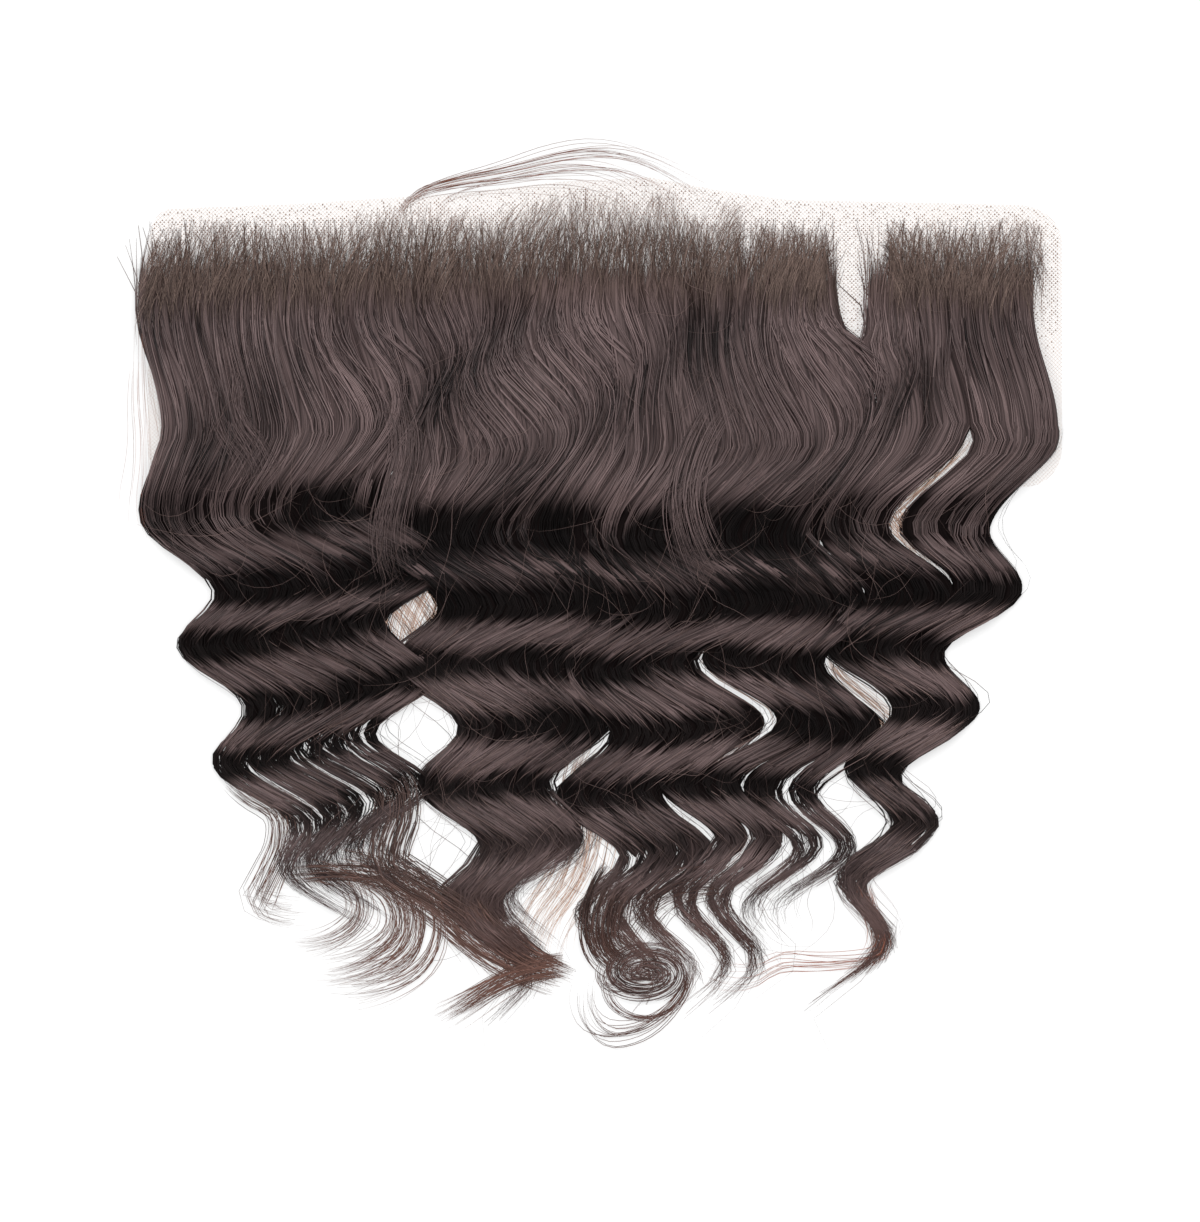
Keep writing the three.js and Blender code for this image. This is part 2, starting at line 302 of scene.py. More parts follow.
TAILS: dict[str, tuple[Tail, ...]] = {
    "stray_lock": (
        Tail(-0.474, 0.01, 163, 26, 0.34, 0.014, 0.045, 0.9, 1.2, 0.5, 0.8, (
            Bend(0.029, -30), Bend(0.028, -25), Bend(0.062, -10), Bend(0.075, 6),
            Bend(0.062, -12), Bend(0.078, -30), Bend(0.055, -5))),
        Tail(-0.395, 0.002, 150, 6, 0.22, 0.02, 0.08, 0.9, 1.5, 0.5, 0.8, (
            Bend(0.05, -45), Bend(0.09, -12), Bend(0.1, -8), Bend(0.05, -10))),
    ),
    "overlay_locks": (
        Tail(-0.821, 0.162, -25, 50, 0.42, 0.08, 0.1, 0.88, 1.1, 0.06, 0.0, (
            Bend(0.053, 25), Bend(0.056, 40), Bend(0.06, -40))),
        Tail(-0.496, 0.194, 32, 80, 0.55, 0.07, 0.06, 1.0, 1.08, 0.12, 0.0, (
            Bend(0.06, -22), Bend(0.06, -28), Bend(0.05, 5), Bend(0.06, 32))),
        Tail(0.293, 0.205, -42, 80, 0.55, 0.07, 0.055, 1.0, 1.08, 0.12, 0.0, (
            Bend(0.06, 15), Bend(0.07, 15), Bend(0.05, 27), Bend(0.06, 15))),
    ),
    "left_flyaways": (
        Tail(-1.02, 0.02, -10, 14, 0.18, 0.04, 0.1, 0.6, 0.5, 0.5, 0.9, (
            Bend(0.1, 10), Bend(0.1, 4), Bend(0.12, -6))),
        Tail(-1.05, 0.16, -5, 9, 0.18, 0.04, 0.1, 0.6, 0.5, 0.5, 0.9, (
            Bend(0.08, 12), Bend(0.08, -14), Bend(0.06, 20))),
    ),
    "left_tips": (
        Tail(-0.496, 0.667, 35, 64, 0.8, 0.1, 0.05, 0.9, 0.6, 0.5, 0.0, (
            Bend(0.039, -35), Bend(0.03, -25), Bend(0.036, 20), Bend(0.03, 65), Bend(0.073, -5),
            Bend(0.109, -10))),
        Tail(-0.733, 0.794, 100, 36, 0.6, 0.04, 0.05, 0.7, 0.5, 0.5, 0.2, (
            Bend(0.085, -12), Bend(0.1, -32), Bend(0.1, -15))),
        Tail(-0.69, 0.785, 95, 26, 0.45, 0.06, 0.03, 0.7, 0.4, 0.5, 0.6, (
            Bend(0.055, -35), Bend(0.042, -60), Bend(0.03, -50), Bend(0.06, -35))),
        Tail(-0.62, 0.778, 88, 46, 0.45, 0.08, 0.06, 0.8, 0.4, 0.5, 0.5, (
            Bend(0.073, -40), Bend(0.048, -48), Bend(0.042, -50), Bend(0.073, -30))),
        Tail(-0.53, 0.778, 80, 46, 0.5, 0.1, 0.07, 0.8, 0.4, 0.5, 0.4, (
            Bend(0.067, -50), Bend(0.055, -40), Bend(0.048, -50), Bend(0.06, -20))),
        Tail(-0.85, 0.667, 40, 34, 0.5, 0.06, 0.05, 0.7, 0.4, 0.5, 0.4, (
            Bend(0.055, 25), Bend(0.036, -60), Bend(0.042, -30), Bend(0.048, 0),
            Bend(0.018, 90), Bend(0.03, 20))),
    ),
    "centre_tips": (
        Tail(-0.34, 0.83, 35, 60, 0.8, 0.12, 0.03, 0.8, 0.6, 0.5, 0.1, (
            Bend(0.073, 20), Bend(0.073, 15))),
        Tail(-0.24, 0.855, 40, 30, 0.8, 0.08, 0.02, 0.8, 0.6, 0.5, 0.1, (
            Bend(0.06, 25), Bend(0.042, 5))),
        Tail(-0.08, 0.9, -88, 70, 0.5, 0.06, 0.02, 0.9, 0.5, 0.5, 0.35, (
            Bend(0.055, 18), Bend(0.06, 14), Bend(0.045, -5))),
    ),
    "curl_lock": (
        Tail(0.04, 0.788, -40, 80, 0.8, 0.1, 0.06, 0.9, 0.9, 0.5, 0.0, (
            Bend(0.067, 32), Bend(0.03, 30), Bend(0.04, 60))),
        Tail(0.293, 0.8, -95, 44, 0.4, 0.07, 0.12, 0.8, 0.9, 0.5, 0.3, (
            Bend(0.06, 15), Bend(0.06, 35), Bend(0.06, 25))),
        Tail(0.2, 0.885, -5, 16, 0.5, 0.02, 0.02, 0.7, 0.4, 0.5, 0.7, (
            Bend(0.042, -25), Bend(0.055, -25), Bend(0.055, -35), Bend(0.036, -60),
            Bend(0.036, -40))),
    ),
    "right_tips": (
        Tail(0.605, 0.8, -20, 12, 0.42, 0.02, 0.02, 0.7, 0.4, 0.5, 0.7, (
            Bend(0.036, 55), Bend(0.036, -35), Bend(0.024, -80), Bend(0.097, -15),
            Bend(0.036, 40), Bend(0.036, -35), Bend(0.03, -25))),
        Tail(0.575, 0.8, 14, 22, 0.4, 0.05, 0.04, 0.7, 0.4, 0.5, 0.6, (
            Bend(0.05, 10), Bend(0.05, -60))),
    ),
    "veil_hairs": (
        Tail(0.01, 0.63, -35, 50, 0.46, 0.14, 0.1, 0.25, 0.25, 0.5, 0.3, (
            Bend(0.073, 35), Bend(0.07, -15), Bend(0.06, -25), Bend(0.07, 35))),
        Tail(-0.48, 0.425, 34, 50, 0.46, 0.15, 0.15, 0.25, 0.25, 0.5, 0.0, (
            Bend(0.05, 5), Bend(0.07, -30))),
        Tail(-0.375, 0.435, -30, 50, 0.46, 0.15, 0.15, 0.25, 0.25, 0.5, 0.0, (
            Bend(0.05, 10), Bend(0.08, 35))),
        Tail(0.815, 0.25, -34, 46, 0.46, 0.06, 0.05, 0.25, 0.25, 0.5, 0.1, (
            Bend(0.065, -14), Bend(0.065, 0), Bend(0.02, 92), Bend(0.09, -4))),
        Tail(0.225, 0.515, 35, 40, 0.46, 0.06, 0.06, 0.25, 0.25, 0.5, 0.4, (
            Bend(0.05, 25), Bend(0.05, 0), Bend(0.05, -75))),
        Tail(0.49, 0.522, 20, 30, 0.46, 0.06, 0.06, 0.25, 0.25, 0.5, 0.4, (
            Bend(0.05, 30), Bend(0.06, 0), Bend(0.04, -75))),
    ),
}


@dataclass(frozen=True)
class Coil:
    """A flat coil of hair.

    across and down are its middle as shares of the fall's half width and length, wide and tall
    its two radii and least its innermost radius as shares of the half width and of those. Each of
    its hairs starts at an angle and goes round by its sweep, both in degrees, give or take the
    spread.
    """

    across: float
    down: float
    wide: float
    tall: float
    least: float
    hairs: int
    thick: float
    start: float
    sweep: float
    spread: float
    high: float
    faded: float


COILS = (
    Coil(0.09, 0.909, 0.104, 0.072, 0.04, 170, 0.6, 180, 200, 180, 1.3, 0.1),
    Coil(0.08, 0.924, 0.112, 0.098, 0.9, 16, 0.45, 25, -195, 14, 0.5, 0.4),
    Coil(0.03, 0.915, 0.05, 0.06, 0.5, 14, 0.4, 150, 150, 30, 0.5, 0.5),
)


@dataclass(frozen=True)
class Strands:
    """Strands of one thickness family, each a row of points.

    Attributes:
        points: Places, in metres, as strand by point by axis.
        radius: Half thickness, as strand by point.
        along: Share of the fall, as strand by point.
        tone: Lightness from 0 to 1, as strand by point.
        dip: How deep in a valley of the waves, which sets the painted shade there, as strand by
            point.
    """

    points: Array
    radius: Array
    along: Array
    tone: Array
    dip: Array

    @staticmethod
    def joined(sets: Sequence["Strands"]) -> "Strands":
        """Put several sets of one length together."""
        return Strands(*(np.concatenate([getattr(s, n) for s in sets])
                         for n in ("points", "radius", "along", "tone", "dip")))


@dataclass(frozen=True)
class HairFall:
    """The course that locks and strands follow from the net's front edge to the tips.

    Lengths are in metres. Places down the fall are shares of it, and a pair of them is where
    something begins and where it is full. Lanes, the pitch and the reaches to the side are shares
    of half the width. A surge makes the locks inside a stretch swing further, and a sweep takes
    the hair aside over the crown.
    """

    fall: float = 298 * MM
    half_width: float = 160 * MM
    offset: float = -5 * MM
    front_row: float = 45 * MM
    net_depth: float = 102 * MM
    net_top: float = 1.35 * MM
    rear_ramp: float = 0.06
    root_height: float = 2.4 * MM
    crown_height: float = 14 * MM
    crown_reach: tuple[float, float] = (-0.02, 0.14)
    tip_height: float = 5 * MM
    sway: float = 9.5 * MM
    relief: float = 0.52
    lift: float = 0.3
    sharpness: float = 1.5
    surge: float = 0.42
    surge_end: tuple[float, float] = (0.6, 0.74)
    swept_from: tuple[float, float] = (0.04, 0.19)
    swept_to: tuple[float, float] = (0.26, 0.42)
    swept_lane: tuple[float, float] = (0.62, 0.9)
    taper: float = 0.64
    taper_start: float = 0.28
    pitch: float = 0.08
    root_spread: float = 1.35
    tip_spread: float = 0.35
    tip_taper: float = 0.18
    root_fall: float = 0.2
    wave_fall: float = 0.38
    low_fall: float = 0.7
    partings: tuple[Parting, ...] = (
        Parting(0.6, 0.085, -0.145, 0.145), Parting(0.355, 0.016, -0.08, 0.08),
        Parting(0.81, 0.05, 0.25, 0.46), Parting(0.355, 0.05, 0.5, 0.655))
    parting_rim: float = 0.004
    bare_beyond: float = 0.975
    bare_until: float = 0.17
    sheen_waves: int = 9
    sheen_size: tuple[float, float] = (26 * MM, 90 * MM)
    sheen_turn: float = 0.9
    sheen_phase: float = 6.3
    sheen_calm: float = 0.9

    def swing(self, down: Array) -> Array:
        """Read the waves' swing to the side.

        Args:
            down: Places down the fall.

        Returns:
            The swing there, from -1 to 1.
        """
        places = np.array([t.down for t in TURNS])
        swings = np.array([t.swing for t in TURNS])
        at = np.clip(np.searchsorted(places, down) - 1, 0, len(places) - 2)
        share = np.clip((down - places[at]) / (places[at + 1] - places[at]), 0, 1)
        return mix(swings[at], swings[at + 1], (1 - np.cos(np.pi * share)) / 2)

    def half(self, down: Array) -> Array:
        """Half the fall's width at places down it."""
        return self.half_width * (1 - self.taper * np.maximum(0, down - self.taper_start))

    def ground(self, down: Array) -> Array:
        """Height of what the hair lies on: the net, and past its rear edge the table."""
        rear = (self.front_row + self.net_depth / 2) / self.fall
        return self.net_top * (1 - smooth(down, rear, rear + self.rear_ramp))

    def waved(self, down: Array) -> Array:
        """How far the waves have grown, from 0 to 1."""
        return smooth(down, self.root_fall, self.wave_fall)

    def dip(self, down: Array, late: Array | float) -> Array:
        """How deep in a valley between two ridges a place down the fall is, from 0 to 1."""
        return self.waved(down) * np.abs(self.swing(down * (1 - late))) ** self.sharpness

    def height(self, down: Array) -> Array:
        """Height of the hair over what it lies on, at a ridge."""
        crown = mix(self.root_height, self.crown_height, smooth(down, *self.crown_reach))
        return crown * mix(1, self.tip_height / self.crown_height, smooth(down, self.wave_fall, 1))

    def drawn_aside(self, root: Array | float, down: Array) -> Array:
        """Work out how far a lane is pushed away from the partings.

        Args:
            root: The lane that the hair is rooted in.
            down: Places down the fall.

        Returns:
            The push at each place, as a share of the half width.
        """
        total = np.zeros(np.broadcast(root, down).shape)
        for parting in self.partings:
            away = root - parting.lane
            drawn = parting.gape * np.exp(-np.abs(away) / self.pitch)
            total = total + np.sign(away) * drawn * parting.parted(down)
        return total

    def lane(self, lock: dict[str, Array], down: Array) -> Array:
        """Follow a lock's lane, which is drawn aside at the partings.

        Args:
            lock: The columns of the locks.
            down: Places down the fall.

        Returns:
            The lane at each place, as a share of the half width.
        """
        upper = mix(lock["root"], lock["low"], smooth(down, self.wave_fall, self.low_fall))
        lane = mix(upper, lock["tip"], smooth(down, self.low_fall, lock["end"]))
        return lane + self.drawn_aside(lock["root"], down)

    def middle(self, lock: dict[str, Array], down: Array, sway: Array | float = 1.0) -> Array:
        """Follow a lock's middle.

        Args:
            lock: The columns of the locks.
            down: Places down the fall.
            sway: The swing, as a share of the usual.

        Returns:
            X at each place.
        """
        wave = mix(1, lock["wave"], self.waved(down))
        wave = wave + self.surge * lock["inner"] * self.waved(down) * (
            1 - smooth(down, *self.surge_end))
        swung = self.sway * sway * wave * self.swing(down * (1 - lock["late"]))
        return self.offset + self.half(down) * self.lane(lock, down) + swung

    def swept(self, root: Array, x: Array, down: Array) -> Array:
        """How far the hair is swept aside over the crown.

        Args:
            root: The lane that it is rooted in.
            x: Its own X.
            down: Its place down the fall.

        Returns:
            The distance, growing to +X.
        """
        free = (smooth(down, *self.swept_from) * (1 - smooth(down, *self.swept_to))
                * (1 - smooth(np.abs(root), *self.swept_lane)))
        return free * sum(s.swing * np.sin(FULL_TURN * (x / s.across + down / s.down) + s.phase)
                          for s in SWEEPS)

    def width(self, lock: dict[str, Array], down: Array) -> Array:
        """Work out a lock's width.

        Args:
            lock: The columns of the locks.
            down: Places down the fall.

        Returns:
            The width at each place.
        """
        spread = mix(self.root_spread, lock["girth"], smooth(down, self.wave_fall, self.low_fall))
        thin = mix(1, self.tip_spread, smooth(down, lock["end"] - self.tip_taper, lock["end"]))
        return self.half_width * self.pitch * spread * thin

    def span(self, down: Array, dip: Array | float) -> tuple[Array, Array]:
        """Work out the hair's underside and top.

        Args:
            down: Places down the fall.
            dip: How deep in a valley each place is.

        Returns:
            The two heights at each place.
        """
        height, ground = self.height(down), self.ground(down)
        low = ground + self.lift * self.relief * height * (self.waved(down) - dip)
        return low, ground + height * (1 - self.relief * dip)

    def down_at(self, y: Array) -> Array:
        """Share of the fall at a Y."""
        return (self.front_row - y) / self.fall

    def sheen(self, x: Array, y: Array, seed: int = 5) -> Array:
        """Read the broad light and dark patches that lie over the hair.

        Args:
            x: X of the places.
            y: Y of the places.
            seed: Which patches.

        Returns:
            The lightness at each place, from 0 to 1.
        """
        rng = np.random.default_rng(seed)
        total = np.zeros(np.broadcast(x, y).shape)
        for _ in range(self.sheen_waves):
            size = rng.uniform(*self.sheen_size)
            turn = rng.uniform(-self.sheen_turn, self.sheen_turn)
            phase = rng.uniform(0, self.sheen_phase)
            total += np.sin(FULL_TURN * (x * np.cos(turn) + y * np.sin(turn)) / size + phase)
        return np.clip(0.5 + total / (self.sheen_calm * self.sheen_waves), 0, 1)

    def is_bare(self, x: Array, y: Array, front: Array, bare_depth: float) -> Array:
        """Tell where the net shows: along its front, in the partings and beyond the hair's sides.

        Args:
            x: X of the places.
            y: Y of the places.
            front: Y of the net's front edge at each of them.
            bare_depth: How far behind the front edge the hair is thin.

        Returns:
            True where the net shows.
        """
        down = np.maximum(self.down_at(y), 0)
        across = (x - self.offset - self.sway * self.swing(down)) / self.half(down)
        open_at = (across > self.bare_beyond) & (down < self.bare_until)
        for parting in self.partings:
            gape = parting.gape * parting.parted(down) + self.parting_rim
            open_at |= (np.abs(across - parting.lane) < gape) & (down < parting.closed)
        return (y > front - bare_depth) | open_at


def columns(locks: Sequence[Lock], pick: Array) -> dict[str, Array]:
    """Lay the picked locks' values out as columns that broadcast over points.

    Args:
        locks: The locks to pick from.
        pick: The index of each strand's lock.

    Returns:
        A column for each field of Lock, and inner, from 0 at the stretch's sides to 1 inside.
    """
    made = {n: np.array([getattr(k, n) for k in locks], float)[pick][:, None]
            for n in ("root", "low", "tip", "girth", "end", "wave", "late")}
    made["inner"] = np.sin(np.pi * pick / (len(locks) - 1))[:, None]
    return made


COURSE = "course"  # the UV map that runs along the locks


class Sock:
    """A shader socket that takes part in arithmetic and adds its Math nodes as it goes."""

    def __init__(self, shader: "Shader", socket: bpy.types.NodeSocket) -> None:
        """Wrap a socket of a shader."""
        self.shader = shader
        self.socket = socket

    def math(self, operation: str, *others: "Sock | float") -> "Sock":
        """Add a Math node.

        Args:
            operation: The node's operation.
            others: Its operands, in order, with this socket wherever self stands.

        Returns:
            The node's result.
        """
        made = self.shader.node("ShaderNodeMath", {"operation": operation}, dict(enumerate(others)))
        return Sock(self.shader, made.outputs[0])

    def __add__(self, other: "Sock | float") -> "Sock":
        """self + other."""
        return self.math("ADD", self, other)

    __radd__ = __add__

    def __sub__(self, other: "Sock | float") -> "Sock":
        """self - other."""
        return self.math("SUBTRACT", self, other)

    def __rsub__(self, other: float) -> "Sock":
        """other - self."""
        return self.math("SUBTRACT", other, self)

    def __mul__(self, other: "Sock | float") -> "Sock":
        """self * other."""
        return self.math("MULTIPLY", self, other)

    __rmul__ = __mul__

    def above(self, low: float, high: float) -> "Sock":
        """Rise smoothly from 0 at low to 1 at high."""
        made = self.shader.node(
            "ShaderNodeMapRange", {"interpolation_type": "SMOOTHSTEP"},
            {"Value": self, "From Min": low, "From Max": high})
        return Sock(self.shader, made.outputs["Result"])


class Tree:
    """A tree of nodes, with the one method that makes them."""

    def __init__(self, tree: bpy.types.NodeTree) -> None:
        """Start with an empty tree."""
        self.tree = tree
        self.tree.nodes.clear()

    def node(self, kind: str, settings: dict[str, Any] | None = None,
             sockets: dict[str | int, Any] | None = None) -> bpy.types.Node:
        """Make a node.

        Args:
            kind: The node's type.
            settings: Its properties, which are set first.
            sockets: The values or links of its inputs, by name or number.

        Returns:
            The new node.
        """
        made = self.tree.nodes.new(kind)
        for name, value in (settings or {}).items():
            setattr(made, name, value)
        for key, value in (sockets or {}).items():
            link = value.socket if isinstance(value, Sock) else value
            if isinstance(link, bpy.types.NodeSocket):
                self.tree.links.new(link, made.inputs[key])
            else:
                made.inputs[key].default_value = value
        return made


class Shader(Tree):
    """One material's node tree."""

    def __init__(self, name: str) -> None:
        """Start an empty material of this name."""
        self.material = bpy.data.materials.new(name)
        self.material.use_nodes = True
        super().__init__(self.material.node_tree)

    def attribute(self, name: str) -> Sock:
        """Read a number that the mesh carries under this name."""
        made = self.node("ShaderNodeAttribute", {"attribute_name": name})
        return Sock(self, made.outputs["Fac"])

    def blend(self, share: "Sock | float", a: Any, b: Any) -> Sock:
        """Mix two colours by a share."""
        made = self.node("ShaderNodeMix", {"data_type": "RGBA"}, {0: share, 6: a, 7: b})
        return Sock(self, made.outputs[2])

    def noise(self, vector: "Sock", scale: float, detail: float = 2.0) -> Sock:
        """Read smooth noise, from 0 to 1, at a vector."""
        made = self.node("ShaderNodeTexNoise", None,
                         {"Vector": vector, "Scale": scale, "Detail": detail})
        return Sock(self, made.outputs["Fac"])

    def place(self) -> Sock:
        """Read the object's own coordinates."""
        return Sock(self, self.node("ShaderNodeTexCoord").outputs["Object"])

    def course(self, across: float, along: float) -> Sock:
        """Read the UV map that runs along the locks.

        Args:
            across: Times to the metre that what is read repeats round a lock.
            along: Times to the metre that it repeats along it.

        Returns:
            The stretched coordinates.
        """
        source = Sock(self, self.node("ShaderNodeUVMap", {"uv_map": COURSE}).outputs["UV"])
        made = self.node("ShaderNodeMapping", None,
                         {"Vector": source, "Scale": (across, along, 1)})
        return Sock(self, made.outputs["Vector"])

    def bump(self, height: Sock, distance: float) -> Sock:
        """Turn a height into a normal."""
        made = self.node("ShaderNodeBump", None, {"Height": height, "Distance": distance})
        return Sock(self, made.outputs["Normal"])

    def finished(self, sockets: dict[str, Any]) -> bpy.types.Material:
        """Close the tree with a Principled BSDF.

        Args:
            sockets: The values or links of its inputs, by name.

        Returns:
            The tree's material.
        """
        shaded = self.node("ShaderNodeBsdfPrincipled", None, sockets)
        self.node("ShaderNodeOutputMaterial", None, {"Surface": Sock(self, shaded.outputs[0])})
        return self.material


@dataclass(frozen=True)
class HairFinish:
    """Dark hair that is warmer at its roots and reddish at its thin ends.

    A pair named reach or thins is where on the strand, or how deep in a valley, something begins
    and is full. tip_share is how far dark and light ends take the tip's colour. The valley colour
    is painted shade, laid over the valleys of the waves and fading towards the tips.
    """

    name: str
    root: Colour = (90, 72, 64)
    dark: Colour = (15, 10, 10)
    light: Colour = (102, 86, 85)
    tip: Colour = (98, 67, 58)
    # valley: colour of the painted shade in the valleys of the waves
    valley: Colour = (3, 1, 1)
    valley_shade_share: float = 0.96
    valley_reach: tuple[float, float] = (0.06, 0.64)
    valley_shade_thins: tuple[float, float] = (0.68, 0.84)
    valley_shade_loss: float = 0.7
    warmth: float = 0.75
    warm_until: float = 0.13
    tip_reach: tuple[float, float] = (0.76, 0.99)
    tip_share: tuple[float, float] = (0.3, 0.9)
    roughness: float = 0.4
    valley_rough: float = 0.4
    light_rough: float = -0.06
    shine: float = 0.1

    def shade(self, shader: Shader, tone: Sock) -> tuple[Sock, Sock]:
        """Work out the colour and the roughness.

        Args:
            shader: The material's shader.
            tone: Lightness from 0 to 1.

        Returns:
            The colour, with painted shade in the valleys, and the roughness.
        """
        along = shader.attribute("along")
        # painted shade: deep in the valleys of the waves the colour darkens towards valley, less
        # near the tips
        shaded_valley = shader.attribute("dip").above(*self.valley_reach)
        body = shader.blend(tone, linear(self.dark), linear(self.light))
        near_root = 1 - along.above(0.0, self.warm_until)
        warm = shader.blend(near_root * self.warmth, body, linear(self.root))
        least, most = self.tip_share
        near_tip = along.above(*self.tip_reach) * (tone * (most - least) + least)
        ended = shader.blend(near_tip, warm, linear(self.tip))
        deep = shaded_valley * (along.above(*self.valley_shade_thins) * -self.valley_shade_loss + 1)
        colour = shader.blend(deep * self.valley_shade_share, ended, linear(self.valley))
        return colour, shaded_valley * self.valley_rough + tone * self.light_rough + self.roughness

    def material(self) -> bpy.types.Material:
        """The finish of separate strands."""
        shader = Shader(self.name)
        colour, rough = self.shade(shader, shader.attribute("tone"))
        return shader.finished({"Base Color": colour, "Roughness": rough,
                                "Specular IOR Level": self.shine})


@dataclass(frozen=True)
class LockFinish(HairFinish):
    """Hair drawn as fine and broad streaks along a lock's body.

    fine and broad are how often the two kinds of streak repeat to the metre, round a lock and
    along it. frays is how far they fray the roots, begins where the body comes into sight, and
    grooves how deep they cut, as shares of the groove.
    """

    fine: tuple[float, float] = (2600, 26)
    broad: tuple[float, float] = (520, 9)
    details: tuple[float, float] = (3.0, 2.0)
    fine_share: float = 0.65
    contrast: tuple[float, float] = (0.36, 0.66)
    tones: tuple[float, float] = (0.1, 0.7)
    frays: tuple[float, float] = (0.05, 0.03)
    begins: tuple[float, float] = (0.042, 0.085)
    matt: float = 0.2
    gloss: float = 0.5
    grooves: tuple[float, float] = (0.7, 0.6)
    groove: float = 0.5 * MM

    def material(self) -> bpy.types.Material:
        """The finish of the locks' bodies."""
        shader = Shader(self.name)
        fine = shader.noise(shader.course(*self.fine), 1.0, self.details[0])
        broad = shader.noise(shader.course(*self.broad), 1.0, self.details[1])
        streak = (fine * self.fine_share + broad * (1 - self.fine_share)).above(*self.contrast)
        darkest, lightest = self.tones
        colour, rough = self.shade(shader, streak * (lightest - darkest) + darkest)
        frayed = (fine - 0.5) * self.frays[0] + (broad - 0.5) * self.frays[1]
        ragged = shader.attribute("along") + frayed
        relief = fine * self.grooves[0] + broad * self.grooves[1]
        return shader.finished({
            "Base Color": colour, "Roughness": rough + self.matt,
            "Alpha": ragged.above(*self.begins), "Specular IOR Level": self.shine * self.gloss,
            "Normal": shader.bump(relief, self.groove)})


class HairShade(Enum):
    """The finishes that separate strands may have."""

    COVER = HairFinish("hair_strands")
    FINE = HairFinish("fine_strands", dark=(40, 29, 27), light=(122, 102, 98))
    ROOT = HairFinish("root_strands", dark=(40, 32, 30), light=(142, 121, 112), warmth=0.2,
                      roughness=0.6)
    WISP = HairFinish("wisps", dark=(52, 34, 28), light=(124, 92, 80), tip=(158, 92, 70))
    FADED = HairFinish("faded_strands", dark=(26, 18, 16), light=(98, 78, 73), tip=(116, 82, 71))
    VEIL = HairFinish("veil_strands", dark=(92, 68, 58), light=(190, 160, 142),
                      tip=(190, 158, 140))
    CURL = HairFinish("curl_strands", dark=(8, 5, 5), light=(78, 63, 60))


TAIL_SHADES: dict[str, HairShade] = {
    "stray_lock": HairShade.WISP,
    "left_flyaways": HairShade.WISP,
    "right_tips": HairShade.WISP,
    "left_tips": HairShade.FADED,
    "centre_tips": HairShade.FADED,
    "curl_lock": HairShade.CURL,
    "veil_hairs": HairShade.VEIL,
}


@dataclass(frozen=True)
class NetFinish:
    """Sheer off-white lace, seen as thread or as the haze of its finest threads.

    wear and cloud are how many spots or patches there are to the metre, haze how much the ground
    hides where it is thickest, and least_haze how much it hides elsewhere.
    """

    name: str
    thread: Colour = (200, 174, 156)
    shade: Colour = (150, 124, 108)
    wear: float = 900.0
    cloud: float = 70.0
    haze: float = 0.045
    least_haze: float = 0.01
    roughness: float = 0.6
    clean_rough: float = 0.2

    def woven(self, shader: Shader, spots: Sock) -> dict[str, Any]:
        """Colour and roughness of the net by its spots."""
        return {"Base Color": shader.blend(spots, linear(self.shade), linear(self.thread)),
                "Roughness": spots * self.clean_rough + self.roughness}

    def for_thread(self) -> bpy.types.Material:
        """The finish of the net's threads."""
        shader = Shader(self.name)
        return shader.finished(self.woven(shader, shader.noise(shader.place(), self.wear)))

    def for_sheet(self) -> bpy.types.Material:
        """The finish of the ground between the threads, which is nearly clear."""
        shader = Shader(self.name)
        patches = shader.noise(shader.place(), self.cloud)
        hidden = patches * self.haze + self.least_haze
        return shader.finished({**self.woven(shader, patches), "Alpha": hidden})


@dataclass(frozen=True)
class KnotFinish:
    """The dark knots that tie the hair into the net.

    spots is how many light and dark patches there are to the metre.
    """

    name: str
    dark: Colour = (72, 52, 44)
    light: Colour = (150, 120, 104)
    spots: float = 700.0
    roughness: float = 0.5
    light_rough: float = 0.2

    def material(self) -> bpy.types.Material:
        """The finish of the knots."""
        shader = Shader(self.name)
        spotted = shader.noise(shader.place(), self.spots)
        return shader.finished({
            "Base Color": shader.blend(spotted, linear(self.dark), linear(self.light)),
            "Roughness": spotted * self.light_rough + self.roughness})


